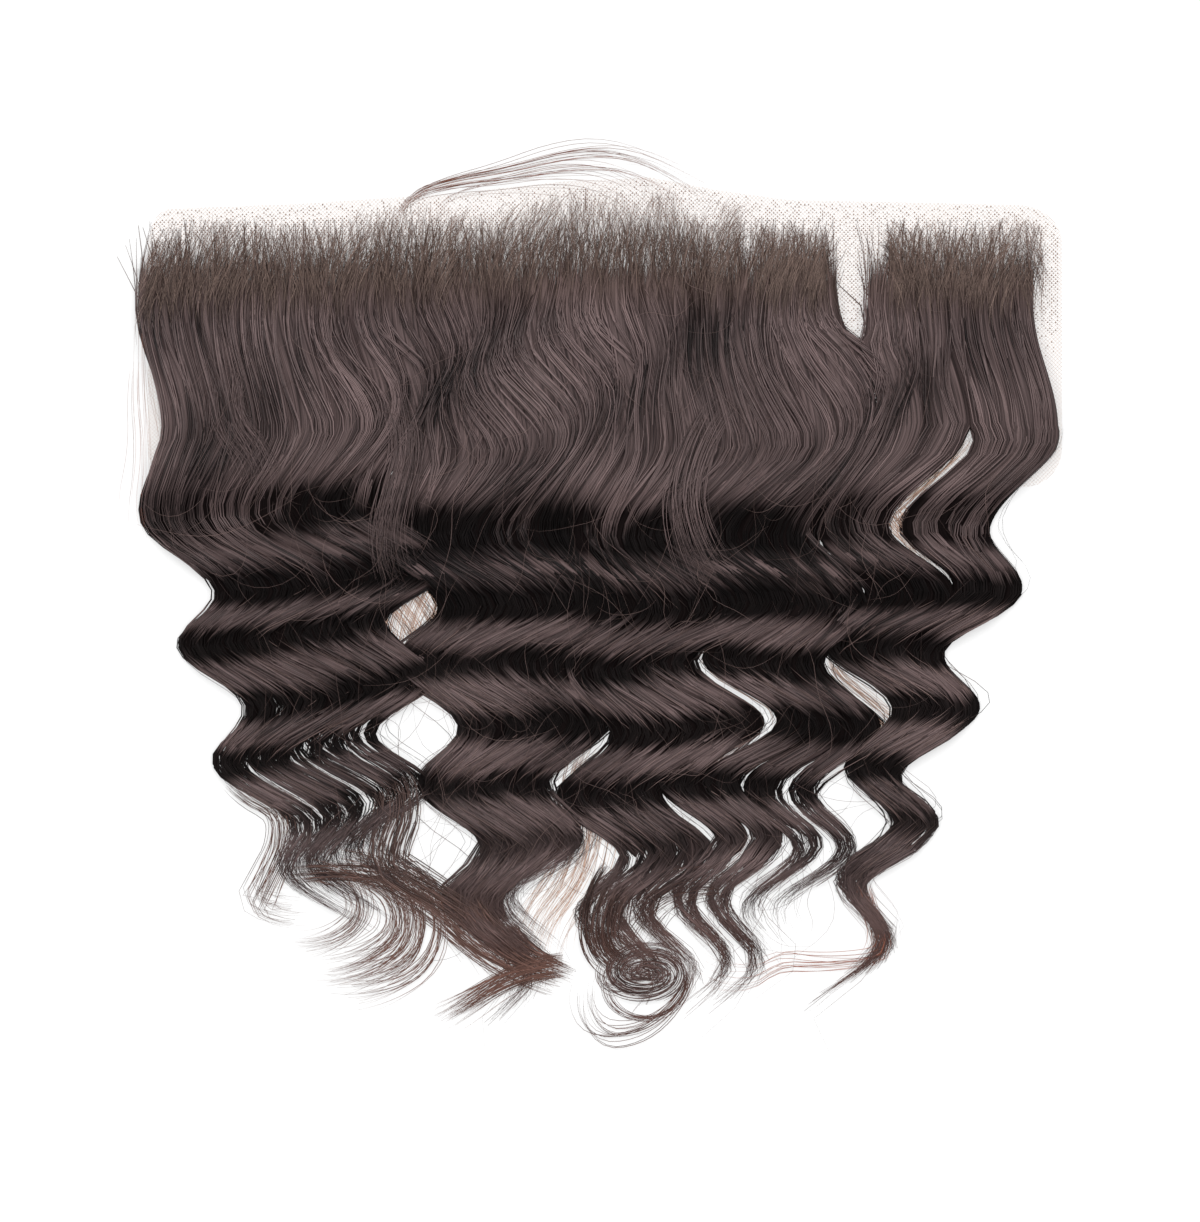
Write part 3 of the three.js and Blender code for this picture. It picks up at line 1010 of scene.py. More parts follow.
class Maker(Tree):
    """One Geometry Nodes tree, with named inputs."""

    def __init__(self, name: str, inputs: dict[str, str]) -> None:
        """Start a tree.

        Args:
            name: The tree's name.
            inputs: The socket type of each named input.
        """
        super().__init__(bpy.data.node_groups.new(name, "GeometryNodeTree"))
        self.ids: dict[str, str] = {}
        face = self.tree.interface
        face.new_socket("Geometry", in_out="INPUT", socket_type="NodeSocketGeometry")
        face.new_socket("Geometry", in_out="OUTPUT", socket_type="NodeSocketGeometry")
        for label, kind in inputs.items():
            self.ids[label] = face.new_socket(label, in_out="INPUT", socket_type=kind).identifier
        self.source = self.tree.nodes.new("NodeGroupInput")
        self.sink = self.tree.nodes.new("NodeGroupOutput")

    def ends(self, geometry: bpy.types.NodeSocket) -> None:
        """Close the tree with smooth faces, real instances and the finish.

        Args:
            geometry: What the tree has made.
        """
        soft = self.node("GeometryNodeSetShadeSmooth", None, {"Geometry": geometry})
        real = self.node("GeometryNodeRealizeInstances", None, {"Geometry": soft.outputs[0]})
        done = self.node("GeometryNodeSetMaterial", None, {
            "Geometry": real.outputs[0], "Material": self.source.outputs["Finish"]})
        self.tree.links.new(done.outputs[0], self.sink.inputs[0])

    def made_on(self, piece: bpy.types.Object, values: dict[str, Any]) -> bpy.types.Object:
        """Run the tree on a piece and keep the result as its plain mesh.

        Args:
            piece: The object whose mesh the tree reads.
            values: The value of each named input.

        Returns:
            The same object with its new mesh.
        """
        modifier = piece.modifiers.new("maker", "NODES")
        modifier.node_group = self.tree
        for label, value in values.items():
            modifier[self.ids[label]] = value
        graph = bpy.context.evaluated_depsgraph_get()
        mesh = bpy.data.meshes.new_from_object(
            piece.evaluated_get(graph), preserve_all_data_layers=True, depsgraph=graph)
        piece.modifiers.remove(modifier)
        if mesh.materials and mesh.materials[0] is None:
            mesh.materials.pop(index=0)
        old, piece.data = piece.data, mesh
        bpy.data.meshes.remove(old)
        return piece


def sweeping_tree() -> Maker:
    """Make the tree that turns rows of points into closed strands, thin where radius is small.

    Returns:
        The tree.
    """
    made = Maker("strand_maker", {
        "Sides": "NodeSocketInt", "Scale": "NodeSocketFloat", "Finish": "NodeSocketMaterial"})
    source = made.source.outputs
    line = made.node("GeometryNodeMeshToCurve", None, {"Mesh": source["Geometry"]})
    ring = made.node("GeometryNodeCurvePrimitiveCircle", {"mode": "RADIUS"}, {
        "Resolution": source["Sides"], "Radius": source["Scale"]})
    thick = made.node("GeometryNodeInputNamedAttribute", {"data_type": "FLOAT"},
                      {"Name": "radius"})
    tube = made.node("GeometryNodeCurveToMesh", None, {
        "Curve": line.outputs["Curve"], "Profile Curve": ring.outputs["Curve"],
        "Scale": thick.outputs["Attribute"], "Fill Caps": True})
    made.ends(tube.outputs["Mesh"])
    return made


def knotting_tree() -> Maker:
    """Make the tree that sets a small knot at every point, each of its own size.

    Returns:
        The tree.
    """
    made = Maker("knot_maker", {
        "Radius": "NodeSocketFloat", "Least": "NodeSocketFloat", "Most": "NodeSocketFloat",
        "Seed": "NodeSocketInt", "Finish": "NodeSocketMaterial"})
    source = made.source.outputs
    dots = made.node("GeometryNodeMeshToPoints", None, {"Mesh": source["Geometry"]})
    knot = made.node("GeometryNodeMeshUVSphere", None, {
        "Segments": 4, "Rings": 2, "Radius": source["Radius"]})
    size = made.node("FunctionNodeRandomValue", {"data_type": "FLOAT"}, {
        2: source["Least"], 3: source["Most"], 8: source["Seed"]})
    laid = made.node("GeometryNodeInstanceOnPoints", None, {
        "Points": dots.outputs["Points"], "Instance": knot.outputs["Mesh"],
        "Scale": size.outputs[1]})
    made.ends(laid.outputs["Instances"])
    return made


def new_piece(name: str, places: Array, edges: Array | None = None,
              faces: Sequence[Sequence[int]] = ()) -> bpy.types.Object:
    """Make an object from places and what joins them.

    Args:
        name: The piece's name.
        places: Its points, in metres.
        edges: Pairs of points.
        faces: Rings of points.

    Returns:
        The new object, linked to the scene.
    """
    mesh = bpy.data.meshes.new(name)
    mesh.from_pydata(np.asarray(places).reshape(-1, 3), [] if edges is None else edges, faces)
    piece = bpy.data.objects.new(name, mesh)
    bpy.context.scene.collection.objects.link(piece)
    return piece


def outwards(piece: bpy.types.Object) -> bpy.types.Object:
    """Turn every face of a piece outwards.

    Args:
        piece: The piece, of closed bodies.

    Returns:
        The same piece.
    """
    work = bmesh.new()
    work.from_mesh(piece.data)
    bmesh.ops.recalc_face_normals(work, faces=work.faces)
    work.to_mesh(piece.data)
    work.free()
    return piece


def carry(mesh: bpy.types.Mesh, name: str, values: Array) -> None:
    """Store a number for each point of a mesh under a name."""
    layer = mesh.attributes.new(name, "FLOAT", "POINT")
    layer.data.foreach_set("value", np.ascontiguousarray(values, dtype=np.float32).ravel())


def worn(piece: bpy.types.Object, slot: str, *stands_for: str) -> bpy.types.Object:
    """Let a piece ride on the part and stand for nodes, and report its triangles.

    Args:
        piece: The finished piece.
        slot: Not used.
        stands_for: The nodes that it replaces.

    Returns:
        The same piece.
    """
    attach(piece, "root")
    if stands_for:
        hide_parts(*stands_for)
    triangles = sum(len(face.vertices) - 2 for face in piece.data.polygons)
    LOG.info("%s: %d triangles", piece.name, triangles)
    return piece


@dataclass
class StrandMaker:
    """Turns sets of strands into pieces with one tree."""

    sides: int = 3
    tree: Maker = field(default_factory=sweeping_tree)

    def build(self, name: str, strands: Strands, finish: bpy.types.Material,
              slot: str = "hair") -> bpy.types.Object:
        """Sweep strands into one piece of closed tubes.

        Args:
            name: The piece's name.
            strands: The strands.
            finish: Their material.
            slot: Handed on to worn, which does not use it.

        Returns:
            The piece.
        """
        count, steps = strands.radius.shape
        index = np.arange(count * steps).reshape(count, steps)
        edges = np.stack([index[:, :-1], index[:, 1:]], -1).reshape(-1, 2)
        piece = new_piece(name, strands.points, edges)
        for label in ("radius", "along", "tone", "dip"):
            values = getattr(strands, label)
            carry(piece.data, label, np.broadcast_to(values, strands.radius.shape))
        return worn(self.tree.made_on(
            piece, {"Sides": self.sides, "Scale": 1.0, "Finish": finish}), slot)


@dataclass(frozen=True)
class Layer:
    """One layer of strands over the locks.

    Attributes:
        name: What the layer adds to its section's name.
        clumps: Clumps to a lock.
        clump_strands: Strands to a clump.
        radius: A strand's half thickness.
        reach: How far to the sides it goes, as a share of a lock's half width.
        start: Where its strands start, first and last, as shares of the fall.
        stray: How far its clumps wander, as a share of the usual.
        phase: Spread of the waves' lateness.
        ragged: Spread of the strands' ends, as a share of the fall.
        over: How far above the locks it may lie, as a share of their height.
    """

    name: str
    clumps: int
    clump_strands: int
    radius: float
    reach: float
    start: tuple[float, float]
    stray: float
    phase: float
    ragged: float
    over: float


@dataclass(frozen=True)
class Ending:
    """How a section thins out low down.

    Attributes:
        body: Share of a lock's end at which its solid body has run out.
        gather: How far its strands draw together into ribbons.
        gather_from: Share of the fall at which they start to.
        short: How far before a lock's end its thick strands stop, as a share of the fall.
    """

    body: float
    gather: float
    gather_from: float
    short: float


ENDINGS: dict[Section, Ending] = {
    Section.LEFT: Ending(0.76, 0.9, 0.59, 0.055),
    Section.CENTRE: Ending(0.95, 0.3, 0.75, 0.035),
    Section.RIGHT: Ending(0.88, 0.8, 0.66, 0.0),
    Section.FAR_RIGHT: Ending(0.84, 0.75, 0.5, 0.0),
}
BRIDGES: dict[Section | None, float] = {
    Section.LEFT: 0.44, Section.CENTRE: 0.58, Section.RIGHT: 0.52}
BODY_LAYER = Layer("strands", 15, 6, 0.26 * MM, 1.0, (-0.004, 0.058), 1.0, 0.005, 0.022, 0.03)
FINE_LAYER = Layer("fine_hairs", 12, 1, 0.1 * MM, 1.5, (0.3, 0.5), 1.8, 0.012, 0.035, 0.12)


@dataclass(frozen=True)
class Draws:
    """What differs from strand to strand in a layer, each as a column over its strands.

    pick is the index of a strand's lock, as a row. side, deep, shift, sway, bends and rates are
    its clump's: where it lies across the lock, how high in the hair, how much later its waves
    come, its swing, and the phases and rates of its two wanders. start, end, ripple, pace, fan,
    girth and tone are the strand's own: where it starts, how much further than its lock it goes,
    the phases and rate of its two ripples, how far aside of its clump it lies, its thickness and
    its lightness.
    """

    pick: Array
    side: Array
    deep: Array
    shift: Array
    sway: Array
    bends: Array
    rates: Array
    start: Array
    end: Array
    ripple: Array
    pace: Array
    fan: Array
    girth: Array
    tone: Array


@dataclass(frozen=True)
class Body:
    """Sizes of the locks' closed bodies.

    Lengths along the fall are shares of it. pointed is the least length of an end and what a
    short body adds, squareness that of a section at the roots and in the waves, shadow how much
    deeper in a valley the underside counts as, and shelf how far apart locks lie in the UV map.
    """

    sides: int = 12
    steps: int = 96
    crowding: float = 0.9
    start: float = 0.032
    height: float = 0.8
    rise: tuple[float, float] = (-0.02, 0.07)
    pointed: tuple[float, float] = (0.05, 0.24)
    least: float = 0.03
    swelling: float = 0.12
    squareness: tuple[float, float] = (0.55, 0.9)
    shadow: float = 0.25
    shadow_height: float = 0.3
    wrap: float = 0.04
    shelf: float = 0.1


@dataclass(frozen=True)
class Cover:
    """How strands lie over the locks.

    Places down the fall are shares of it, sides run from -1 to 1 across a lock, and a rate is in
    turns over the fall. wander holds how far a clump strays at the roots, in the waves and over
    the crown. The strands of each half of a lock end in a ribbon. They fan out of their clump
    most where they start and at their ends.
    """

    uneven: float = 0.12
    deepness: tuple[float, float] = (4.0, 1.2)
    sways: tuple[float, float] = (0.86, 1.12)
    slow: tuple[float, float] = (0.8, 2.0)
    quick: tuple[float, float] = (2.4, 4.6)
    quick_share: float = 0.4
    wander: tuple[float, float, float] = (1.3 * MM, 2.0 * MM, 2.4 * MM)
    crown: tuple[float, float] = (0.25, 0.42)
    crown_from: float = 0.16
    outer_side: float = 0.5
    outer_calm: float = 0.35
    ribbon_calm: float = 0.6
    ribbon_side: float = 0.52
    ribbon_ways: tuple[float, float] = (2.7, 1.3)
    ribbon_way: float = 0.2
    ribbon_from: float = 0.03
    ribbon_reach: float = 0.12
    ribbon_width: tuple[float, float] = (0.26, 0.1)
    fans: tuple[float, float] = (1.5, 0.6)
    fan_reach: float = 0.13
    fan_ribbon: float = 0.5
    fan_end: float = 0.8
    fan_start: float = 3.2
    fan_started: float = 0.055
    thin_end: float = 0.14
    end_least: float = 0.2
    start_least: float = 0.3
    rises: float = 0.07
    root_lie: float = 0.9 * MM
    clear: float = 0.1 * MM
    domes: tuple[float, float] = (5.0, 2.4)
    dome_least: float = 0.04
    lowest: float = 0.35
    ripple: tuple[float, float] = (0.45 * MM, 0.35 * MM)
    girths: tuple[float, float] = (0.6, 1.3)
    paces: tuple[float, float] = (1.5, 5.0)
    end_uneven: float = 0.014
    furthest: float = 1.02


@dataclass(frozen=True)
class Tones:
    """What makes strands lighter and darker.

    A sheen of broad patches lightens and darkens the hair, and breaks up the painted shade of the
    valleys. first and broken are the middle and the reach of the first ridge and of the first
    valley, which fade on the outer lanes. low is where the lower ridges get lighter, and facing
    is a painted highlight: how much lighter hair is painted where it is swept aside.
    """

    least: float = 0.1
    clump: float = 0.24
    strand: float = 0.46
    shimmer: float = 0.14
    shimmer_pace: float = 2.3
    sheen: float = 0.55
    sheen_middle: float = 0.45
    first: tuple[float, float] = (0.42, 0.05)
    first_dark: float = 0.5
    swept_highlight: float = 0.3
    low: tuple[float, float] = (0.44, 0.56)
    low_light: float = 0.08
    outer_lanes: tuple[float, float] = (0.6, 0.8)
    outer_ridge: float = 0.6
    outer_valley: float = 0.55
    broken: tuple[float, float] = (0.364, 0.035)
    broken_dip: float = 0.35
    patchy_dip: float = 0.78
    patches: tuple[float, float] = (0.28, 0.5)
    patch_seed: int = 8
    deep_dip: float = 0.8


@dataclass
class HairSection:
    """One stretch of hair: the bodies of its locks and the strands that lie over them.

    Neighbouring stretches reach over to each other by a bridge until they part. A strand has
    root_steps points before the full waves, wave_steps between their turns and tip_steps after.
    """

    section: Section
    fall: HairFall
    maker: StrandMaker
    seed: int
    body: Body = Body()
    cover: Cover = Cover()
    tones: Tones = Tones()
    bridge: float = 4.5 * MM
    bridge_side: float = 0.45
    bridge_from: tuple[float, float] = (0.13, 0.18)
    bridge_fade: float = 0.06
    root_steps: int = 11
    root_crowding: float = 1.5
    first_turn: int = 2
    wave_steps: tuple[int, ...] = (6, 5, 5, 5, 5, 5)
    turn_crowding: float = 0.3
    turn_samples: int = 200
    tip_steps: int = 7
    least_tip: float = 0.02

    @property
    def locks(self) -> tuple[Lock, ...]:
        """The section's locks."""
        return LOCKS[self.section]

    @property
    def ending(self) -> Ending:
        """How the section thins out."""
        return ENDINGS[self.section]

    @property
    def label(self) -> str:
        """The section's plain name."""
        return self.section.value.removeprefix("hair_")

    def bodies(self, finish: bpy.types.Material) -> bpy.types.Object:
        """Build the closed wavy bodies of the locks as one piece.

        Args:
            finish: Their material.

        Returns:
            The piece.
        """
        body, fall = self.body, self.fall
        lock = columns(self.locks, np.arange(len(self.locks)))
        last = lock["end"] * self.ending.body
        share = np.linspace(0, 1, body.steps)[None, :] ** body.crowding
        down = mix(body.start, last, share)
        dip = fall.dip(down, lock["late"])
        place, up = self.sections_of(lock, down, last, dip)
        piece = new_piece(f"{self.label}_locks", place, None, self.skin())
        wide = np.broadcast_to(down[..., None], up.shape)
        deep = np.broadcast_to(dip[..., None], up.shape)
        # painted shadow: the lower part of each body counts as deeper in a valley, so it gets more
        # of the painted valley shade
        shaded = body.shadow * (up < body.shadow_height)
        carry(piece.data, "along", wide)
        carry(piece.data, "dip", np.clip(deep + shaded, 0, 1))
        around = np.broadcast_to(np.arange(body.sides) / body.sides * body.wrap, up.shape)
        lock_at = np.arange(len(self.locks))[:, None, None] * body.shelf
        course = np.stack([around + lock_at, wide * fall.fall], -1).reshape(-1, 2)
        self.lay_course(piece.data, course)
        piece.data.shade_smooth()
        piece.data.materials.append(finish)
        return worn(outwards(piece), "hair", self.section.value)

    def sections_of(self, lock: dict[str, Array], down: Array, last: Array,
                    dip: Array) -> tuple[Array, Array]:
        """Set out the cross sections of the locks' bodies.

        Args:
            lock: The columns of the locks.
            down: Where the cross sections lie, as shares of the fall.
            last: Where the bodies end.
            dip: How deep in a valley each of them is.

        Returns:
            The corners' places as lock by section by corner by axis, and how high in its section
            each corner is, from -1 to 1.
        """
        body, fall = self.body, self.fall
        low, top = fall.span(down, dip)
        top = mix(low, top, body.height * smooth(down, *body.rise))
        shortest, more = body.pointed
        point = more * (1 - self.ending.body) + shortest
        thin = np.sqrt(np.clip((last - down) / point, 0, 1))
        thin = thin * (1 - body.least) + body.least
        swollen = 1 + body.swelling * lock["inner"] * fall.waved(down)
        half = fall.width(lock, down) * 0.5 * thin * swollen
        turn = np.linspace(0, FULL_TURN, body.sides, endpoint=False)
        square = mix(*body.squareness, fall.waved(down))[..., None]
        out = np.sign(np.cos(turn)) * np.abs(np.cos(turn)) ** square
        up = np.sign(np.sin(turn)) * np.abs(np.sin(turn)) ** square
        y = np.broadcast_to((fall.front_row - fall.fall * down)[..., None], out.shape)
        place = np.stack([
            fall.middle(lock, down)[..., None] + half[..., None] * out, y,
            ((low + top) / 2)[..., None] + ((top - low) / 2 * thin)[..., None] * up], -1)
        return place, up

    def skin(self) -> list[Sequence[int]]:
        """List the faces that join the locks' cross sections and close their two ends.

        Returns:
            The faces, as rings of points.
        """
        steps, sides = self.body.steps, self.body.sides
        faces: list[Sequence[int]] = []
        for first in range(0, len(self.locks) * steps * sides, steps * sides):
            ring = [[first + s * sides + k for k in range(sides)] for s in range(steps)]
            faces += [ring[0][::-1], ring[-1]]
            faces += [(a[k], a[(k + 1) % sides], b[(k + 1) % sides], b[k])
                      for a, b in zip(ring, ring[1:]) for k in range(sides)]
        return faces

    @staticmethod
    def lay_course(mesh: bpy.types.Mesh, course: Array) -> None:
        """Give a mesh the UV map that runs along its locks.

        Args:
            mesh: The locks' mesh.
            course: Its points' places round and along their lock, in metres.
        """
        corners = np.empty(len(mesh.loops), dtype=np.int32)
        mesh.loops.foreach_get("vertex_index", corners)
        layer = mesh.uv_layers.new(name=COURSE)
        layer.data.foreach_set("uv", course[corners].astype(np.float32).ravel())

    def stations(self, start: Array, late: Array, last: Array) -> Array:
        """Set places down the fall for each strand, closest together where the waves turn.

        Args:
            start: Where each strand starts, as a column.
            late: How late its waves come, as a column.
            last: Where it ends, as a column.

        Returns:
            The places, as strand by point.
        """
        phase = np.linspace(0, 1, self.turn_samples)
        weight = np.cumsum(np.sqrt(np.abs(np.cos(np.pi * phase))) + self.turn_crowding)
        weight = (weight - weight[0]) / (weight[-1] - weight[0])
        wave: list[float] = []
        for at, steps in enumerate(self.wave_steps, self.first_turn):
            share = np.interp(np.arange(steps) / steps, weight, phase)
            wave += list(mix(TURNS[at].down, TURNS[at + 1].down, share))
        last_turn = self.first_turn + len(self.wave_steps)
        before, after = (TURNS[k].down / (1 - late) for k in (self.first_turn, last_turn))
        eased = 1 - (1 - np.arange(self.root_steps) / self.root_steps) ** self.root_crowding
        root = mix(start, before, eased)
        end = np.maximum(last, after + self.least_tip)
        tip = mix(after, end, np.linspace(0, 1, self.tip_steps))
        return np.concatenate([root, np.array(wave) / (1 - late), tip], axis=1)

    def drawn(self, layer: Layer) -> Draws:
        """Draw what differs from clump to clump and from strand to strand.

        Args:
            layer: The layer's numbers.

        Returns:
            The draws.
        """
        rng = np.random.default_rng(self.seed + len(layer.name))
        cover, tones, locks = self.cover, self.tones, len(self.locks)
        count = locks * layer.clumps
        pick = np.repeat(np.arange(locks), layer.clumps)
        side = np.tile(np.linspace(-1, 1, layer.clumps), locks)
        side = (side + rng.uniform(-cover.uneven, cover.uneven, count)).clip(-1, 1) * layer.reach
        side = np.where(self.outermost(pick, side, 1), side / layer.reach, side)
        deep = rng.beta(*cover.deepness, count)
        shift = rng.normal(0, layer.phase, count)
        sway = rng.uniform(*cover.sways, count)
        end = rng.normal(0, layer.ragged, count)
        bends = rng.uniform(0, FULL_TURN, (4, count))  # wandering reads the first two rows
        rates = np.stack([rng.uniform(*cover.slow, count), rng.uniform(*cover.quick, count)])
        each = np.repeat(np.arange(count), layer.clump_strands)
        total = len(each)
        start = rng.uniform(*layer.start, total)
        end = end[each] + rng.normal(0, cover.end_uneven, total)
        ripple = rng.uniform(0, FULL_TURN, (2, total))
        pace = rng.uniform(*cover.paces, total)
        fan = rng.normal(0, 1, total) * MM
        girth = rng.uniform(*cover.girths, total)
        clump_tone = rng.uniform(0, 1, count)[each] * tones.clump
        tone = clump_tone + rng.uniform(0, 1, total) * tones.strand + tones.least
        return Draws(
            pick[each], side[each][:, None], deep[each][:, None], shift[each][:, None],
            sway[each][:, None], bends[:, each][:, :, None], rates[:, each][:, :, None],
            start[:, None], end[:, None], ripple[:, :, None], pace[:, None], fan[:, None],
            girth[:, None], tone[:, None])

    def outermost(self, pick: Array, side: Array, beyond: float) -> Array:
        """Tell which strands lie at the whole fall's own sides.

        Args:
            pick: Index of each strand's lock.
            side: Where it lies across the lock.
            beyond: Side past which it counts.

        Returns:
            True for those strands.
        """
        left = (pick == 0) & (side < -beyond) & (self.section is Section.LEFT)
        right = (pick == len(self.locks) - 1) & (side > beyond) & (
            self.section is Section.FAR_RIGHT)
        return left | right

    def bridging(self, draws: Draws, down: Array) -> Array:
        """Work out how far strands reach over to a neighbouring stretch, growing to +X.

        Args:
            draws: The strands' draws.
            down: Places down the fall.

        Returns:
            The reach, as strand by point.
        """
        pick, side = draws.pick, draws.side[:, 0]
        after = (pick == len(self.locks) - 1) & (side > self.bridge_side) & (
            self.section in BRIDGES)
        before = (pick == 0) & (side < -self.bridge_side) & (self.section.before in BRIDGES)
        first = BRIDGES.get(self.section.before, 0.0)
        ends = np.where(pick == 0, first, BRIDGES.get(self.section, 0.0))[:, None]
        met = smooth(down, *self.bridge_from) * (1 - smooth(down, ends - self.bridge_fade, ends))
        return (self.bridge * (after * 1.0 - before * 1.0))[:, None] * met

    def gathered(self, draws: Draws, down: Array) -> tuple[Array, Array]:
        """Draw the strands of each half of a lock together into a ribbon.

        Args:
            draws: The strands' draws.
            down: Places down the fall.

        Returns:
            Where each strand lies across its lock, and how far it is drawn together.
        """
        cover, ending = self.cover, self.ending
        by_lock, by_side = cover.ribbon_ways
        way = np.sin(by_lock * draws.pick[:, None] + by_side * np.sign(draws.side) + self.seed)
        ribbon = np.sign(draws.side) * cover.ribbon_side + cover.ribbon_way * way
        first = ending.gather_from + cover.ribbon_from * way
        share = ending.gather * smooth(down, first, first + cover.ribbon_reach)
        width, differs = cover.ribbon_width
        narrow = ribbon + (draws.side - ribbon) * (width - differs * way)
        return mix(draws.side, narrow, share), share

    def wandering(self, layer: Layer, draws: Draws, down: Array, gathered: Array) -> Array:
        """Work out how far each clump wanders aside.

        Args:
            layer: The layer's numbers.
            draws: The strands' draws.
            down: Places down the fall.
            gathered: How far the strands are drawn together.

        Returns:
            The distance, growing to +X.
        """
        cover = self.cover
        outer = self.outermost(draws.pick, draws.side[:, 0], cover.outer_side)[:, None]
        calm = np.where(outer, cover.outer_calm, 1.0) * (1 - cover.ribbon_calm * gathered)
        roots, waves, crown = cover.wander
        at_crown = (1 - smooth(down, *cover.crown)) * smooth(down, 0, cover.crown_from)
        far = mix(mix(roots, waves, self.fall.waved(down)), crown, at_crown)
        slow, quick = (np.sin(FULL_TURN * down * rate + bend)
                       for rate, bend in zip(draws.rates, draws.bends))
        return layer.stray * calm * far * mix(slow, quick, cover.quick_share)

    def fanned(self, draws: Draws, down: Array, gathered: Array) -> Array:
        """Work out how far each strand fans out of its clump.

        Args:
            draws: The strands' draws.
            down: Places down the fall.
            gathered: How far the strands are drawn together.

        Returns:
            The distance, growing to +X.
        """
        cover, last = self.cover, down[:, -1:]
        spread = mix(*cover.fans, smooth(down, 0, cover.fan_reach))
        at_end = smooth(down, last - cover.thin_end, last)
        at_start = 1 - smooth(down, draws.start, draws.start + cover.fan_started)
        return draws.fan * (spread * (1 - cover.fan_ribbon * gathered)
                            + cover.fan_end * at_end + cover.fan_start * at_start)

    def heights(self, layer: Layer, draws: Draws, down: Array, dip: Array, flat: Array) -> Array:
        """Lay strands over the locks, which they leave the net for.

        Args:
            layer: The layer's numbers.
            draws: The strands' draws.
            down: Places down the fall.
            dip: How deep in a valley they are.
            flat: Where they lie across their lock.

        Returns:
            Z at each place.
        """
        cover = self.cover
        low, top = self.fall.span(down, dip)
        power = mix(*cover.domes, self.fall.waved(down))
        dome = np.sqrt(np.clip(1 - np.abs(flat / layer.reach) ** power, cover.dome_least, 1))
        rise = mix(cover.lowest, 1 + layer.over, draws.deep) * dome
        high = smooth(down, draws.start, draws.start + cover.rises)
        base = mix(cover.root_lie, low, high)
        ripple = np.sin(FULL_TURN * down * (draws.pace + 1) + draws.ripple[1])
        return mix(base, mix(low, top, rise), high) + cover.ripple[1] * ripple

    def shaded(self, draws: Draws, lane: Array, places: Array, down: Array, dip: Array,
               slope: Array) -> tuple[Array, Array]:
        """Work out how light the strands are, and break the valleys up in patches.

        Args:
            draws: The strands' draws.
            lane: The lanes that they are rooted in.
            places: Their points.
            down: Their places down the fall.
            dip: How deep in a valley they are.
            slope: How far they are swept aside, to the length.

        Returns:
            The lightness at each place and how much painted valley shade it gets, both from 0 to 1.
        """
        tones, x, y = self.tones, places[..., 0], places[..., 1]
        pace = tones.shimmer_pace * draws.pace
        shimmer = tones.shimmer * np.sin(FULL_TURN * down * pace + draws.ripple[0])
        outer = smooth(np.abs(lane), *tones.outer_lanes)
        first = hump(down, *tones.first) * (1 - tones.outer_ridge * outer)
        patches = tones.sheen * (self.fall.sheen(x, y) - tones.sheen_middle)
        # painted highlight: hair that is swept aside is made lighter by its slope, as if it caught
        # the light
        tone = (draws.tone + shimmer + patches - tones.first_dark * first + tones.swept_highlight * slope
                + tones.low_light * smooth(down, *tones.low))
        # the painted valley shade is broken up in patches, weaker on the outer lanes and for
        # strands that lie high in the hair
        broken = hump(down, *tones.broken)
        whole = smooth(self.fall.sheen(x, y, tones.patch_seed), *tones.patches)
        patchy = mix(mix(tones.patchy_dip, tones.broken_dip, broken), 1, whole) * (
            1 - tones.outer_valley * outer * broken)
        deep = dip * patchy * mix(1.0, tones.deep_dip, draws.deep)
        return np.clip(tone, 0, 1), np.clip(deep, 0, 1)

    def strands(self, layer: Layer, finish: bpy.types.Material) -> bpy.types.Object:
        """Build one layer of strands over the locks, gathered in clumps.

        Args:
            layer: The layer's numbers.
            finish: Its material.

        Returns:
            The piece.
        """
        fall, cover, draws = self.fall, self.cover, self.drawn(layer)
        lock = columns(self.locks, draws.pick)
        late = lock["late"] + draws.shift
        last = lock["end"] - self.ending.short + draws.end
        down = self.stations(draws.start, late, np.minimum(last, cover.furthest))
        last = down[:, -1:]
        dip = fall.dip(down, late)
        flat, gathered = self.gathered(draws, down)
        course = fall.middle({**lock, "late": late}, down, draws.sway)
        course = course + flat * fall.width(lock, down) * 0.5
        aside = fall.swept(lock["root"], course, down)
        # slope feeds a painted highlight on hair that is swept aside
        slope = np.gradient(aside, axis=1) / (np.gradient(down, axis=1) * fall.fall)
        ripple = np.sin(FULL_TURN * down * draws.pace + draws.ripple[0])
        x = (course + self.wandering(layer, draws, down, gathered)
             + self.fanned(draws, down, gathered) + aside + self.bridging(draws, down)
             + cover.ripple[0] * fall.waved(down) * ripple)
        thin = mix(cover.end_least, 1, smooth(down, last, last - cover.thin_end))
        grown = smooth(down, draws.start, draws.start + cover.rises)
        radius = layer.radius * draws.girth * thin * mix(cover.start_least, 1, grown)
        z = np.maximum(self.heights(layer, draws, down, dip, flat), radius + cover.clear)
        y = np.broadcast_to(fall.front_row - fall.fall * down, x.shape)
        places = np.stack([x, y, z], -1)
        tone, deep = self.shaded(draws, lock["root"], places, down, dip, slope)
        made = Strands(places, radius, down, tone, deep)
        return self.maker.build(f"{self.label}_{layer.name}", made, finish)


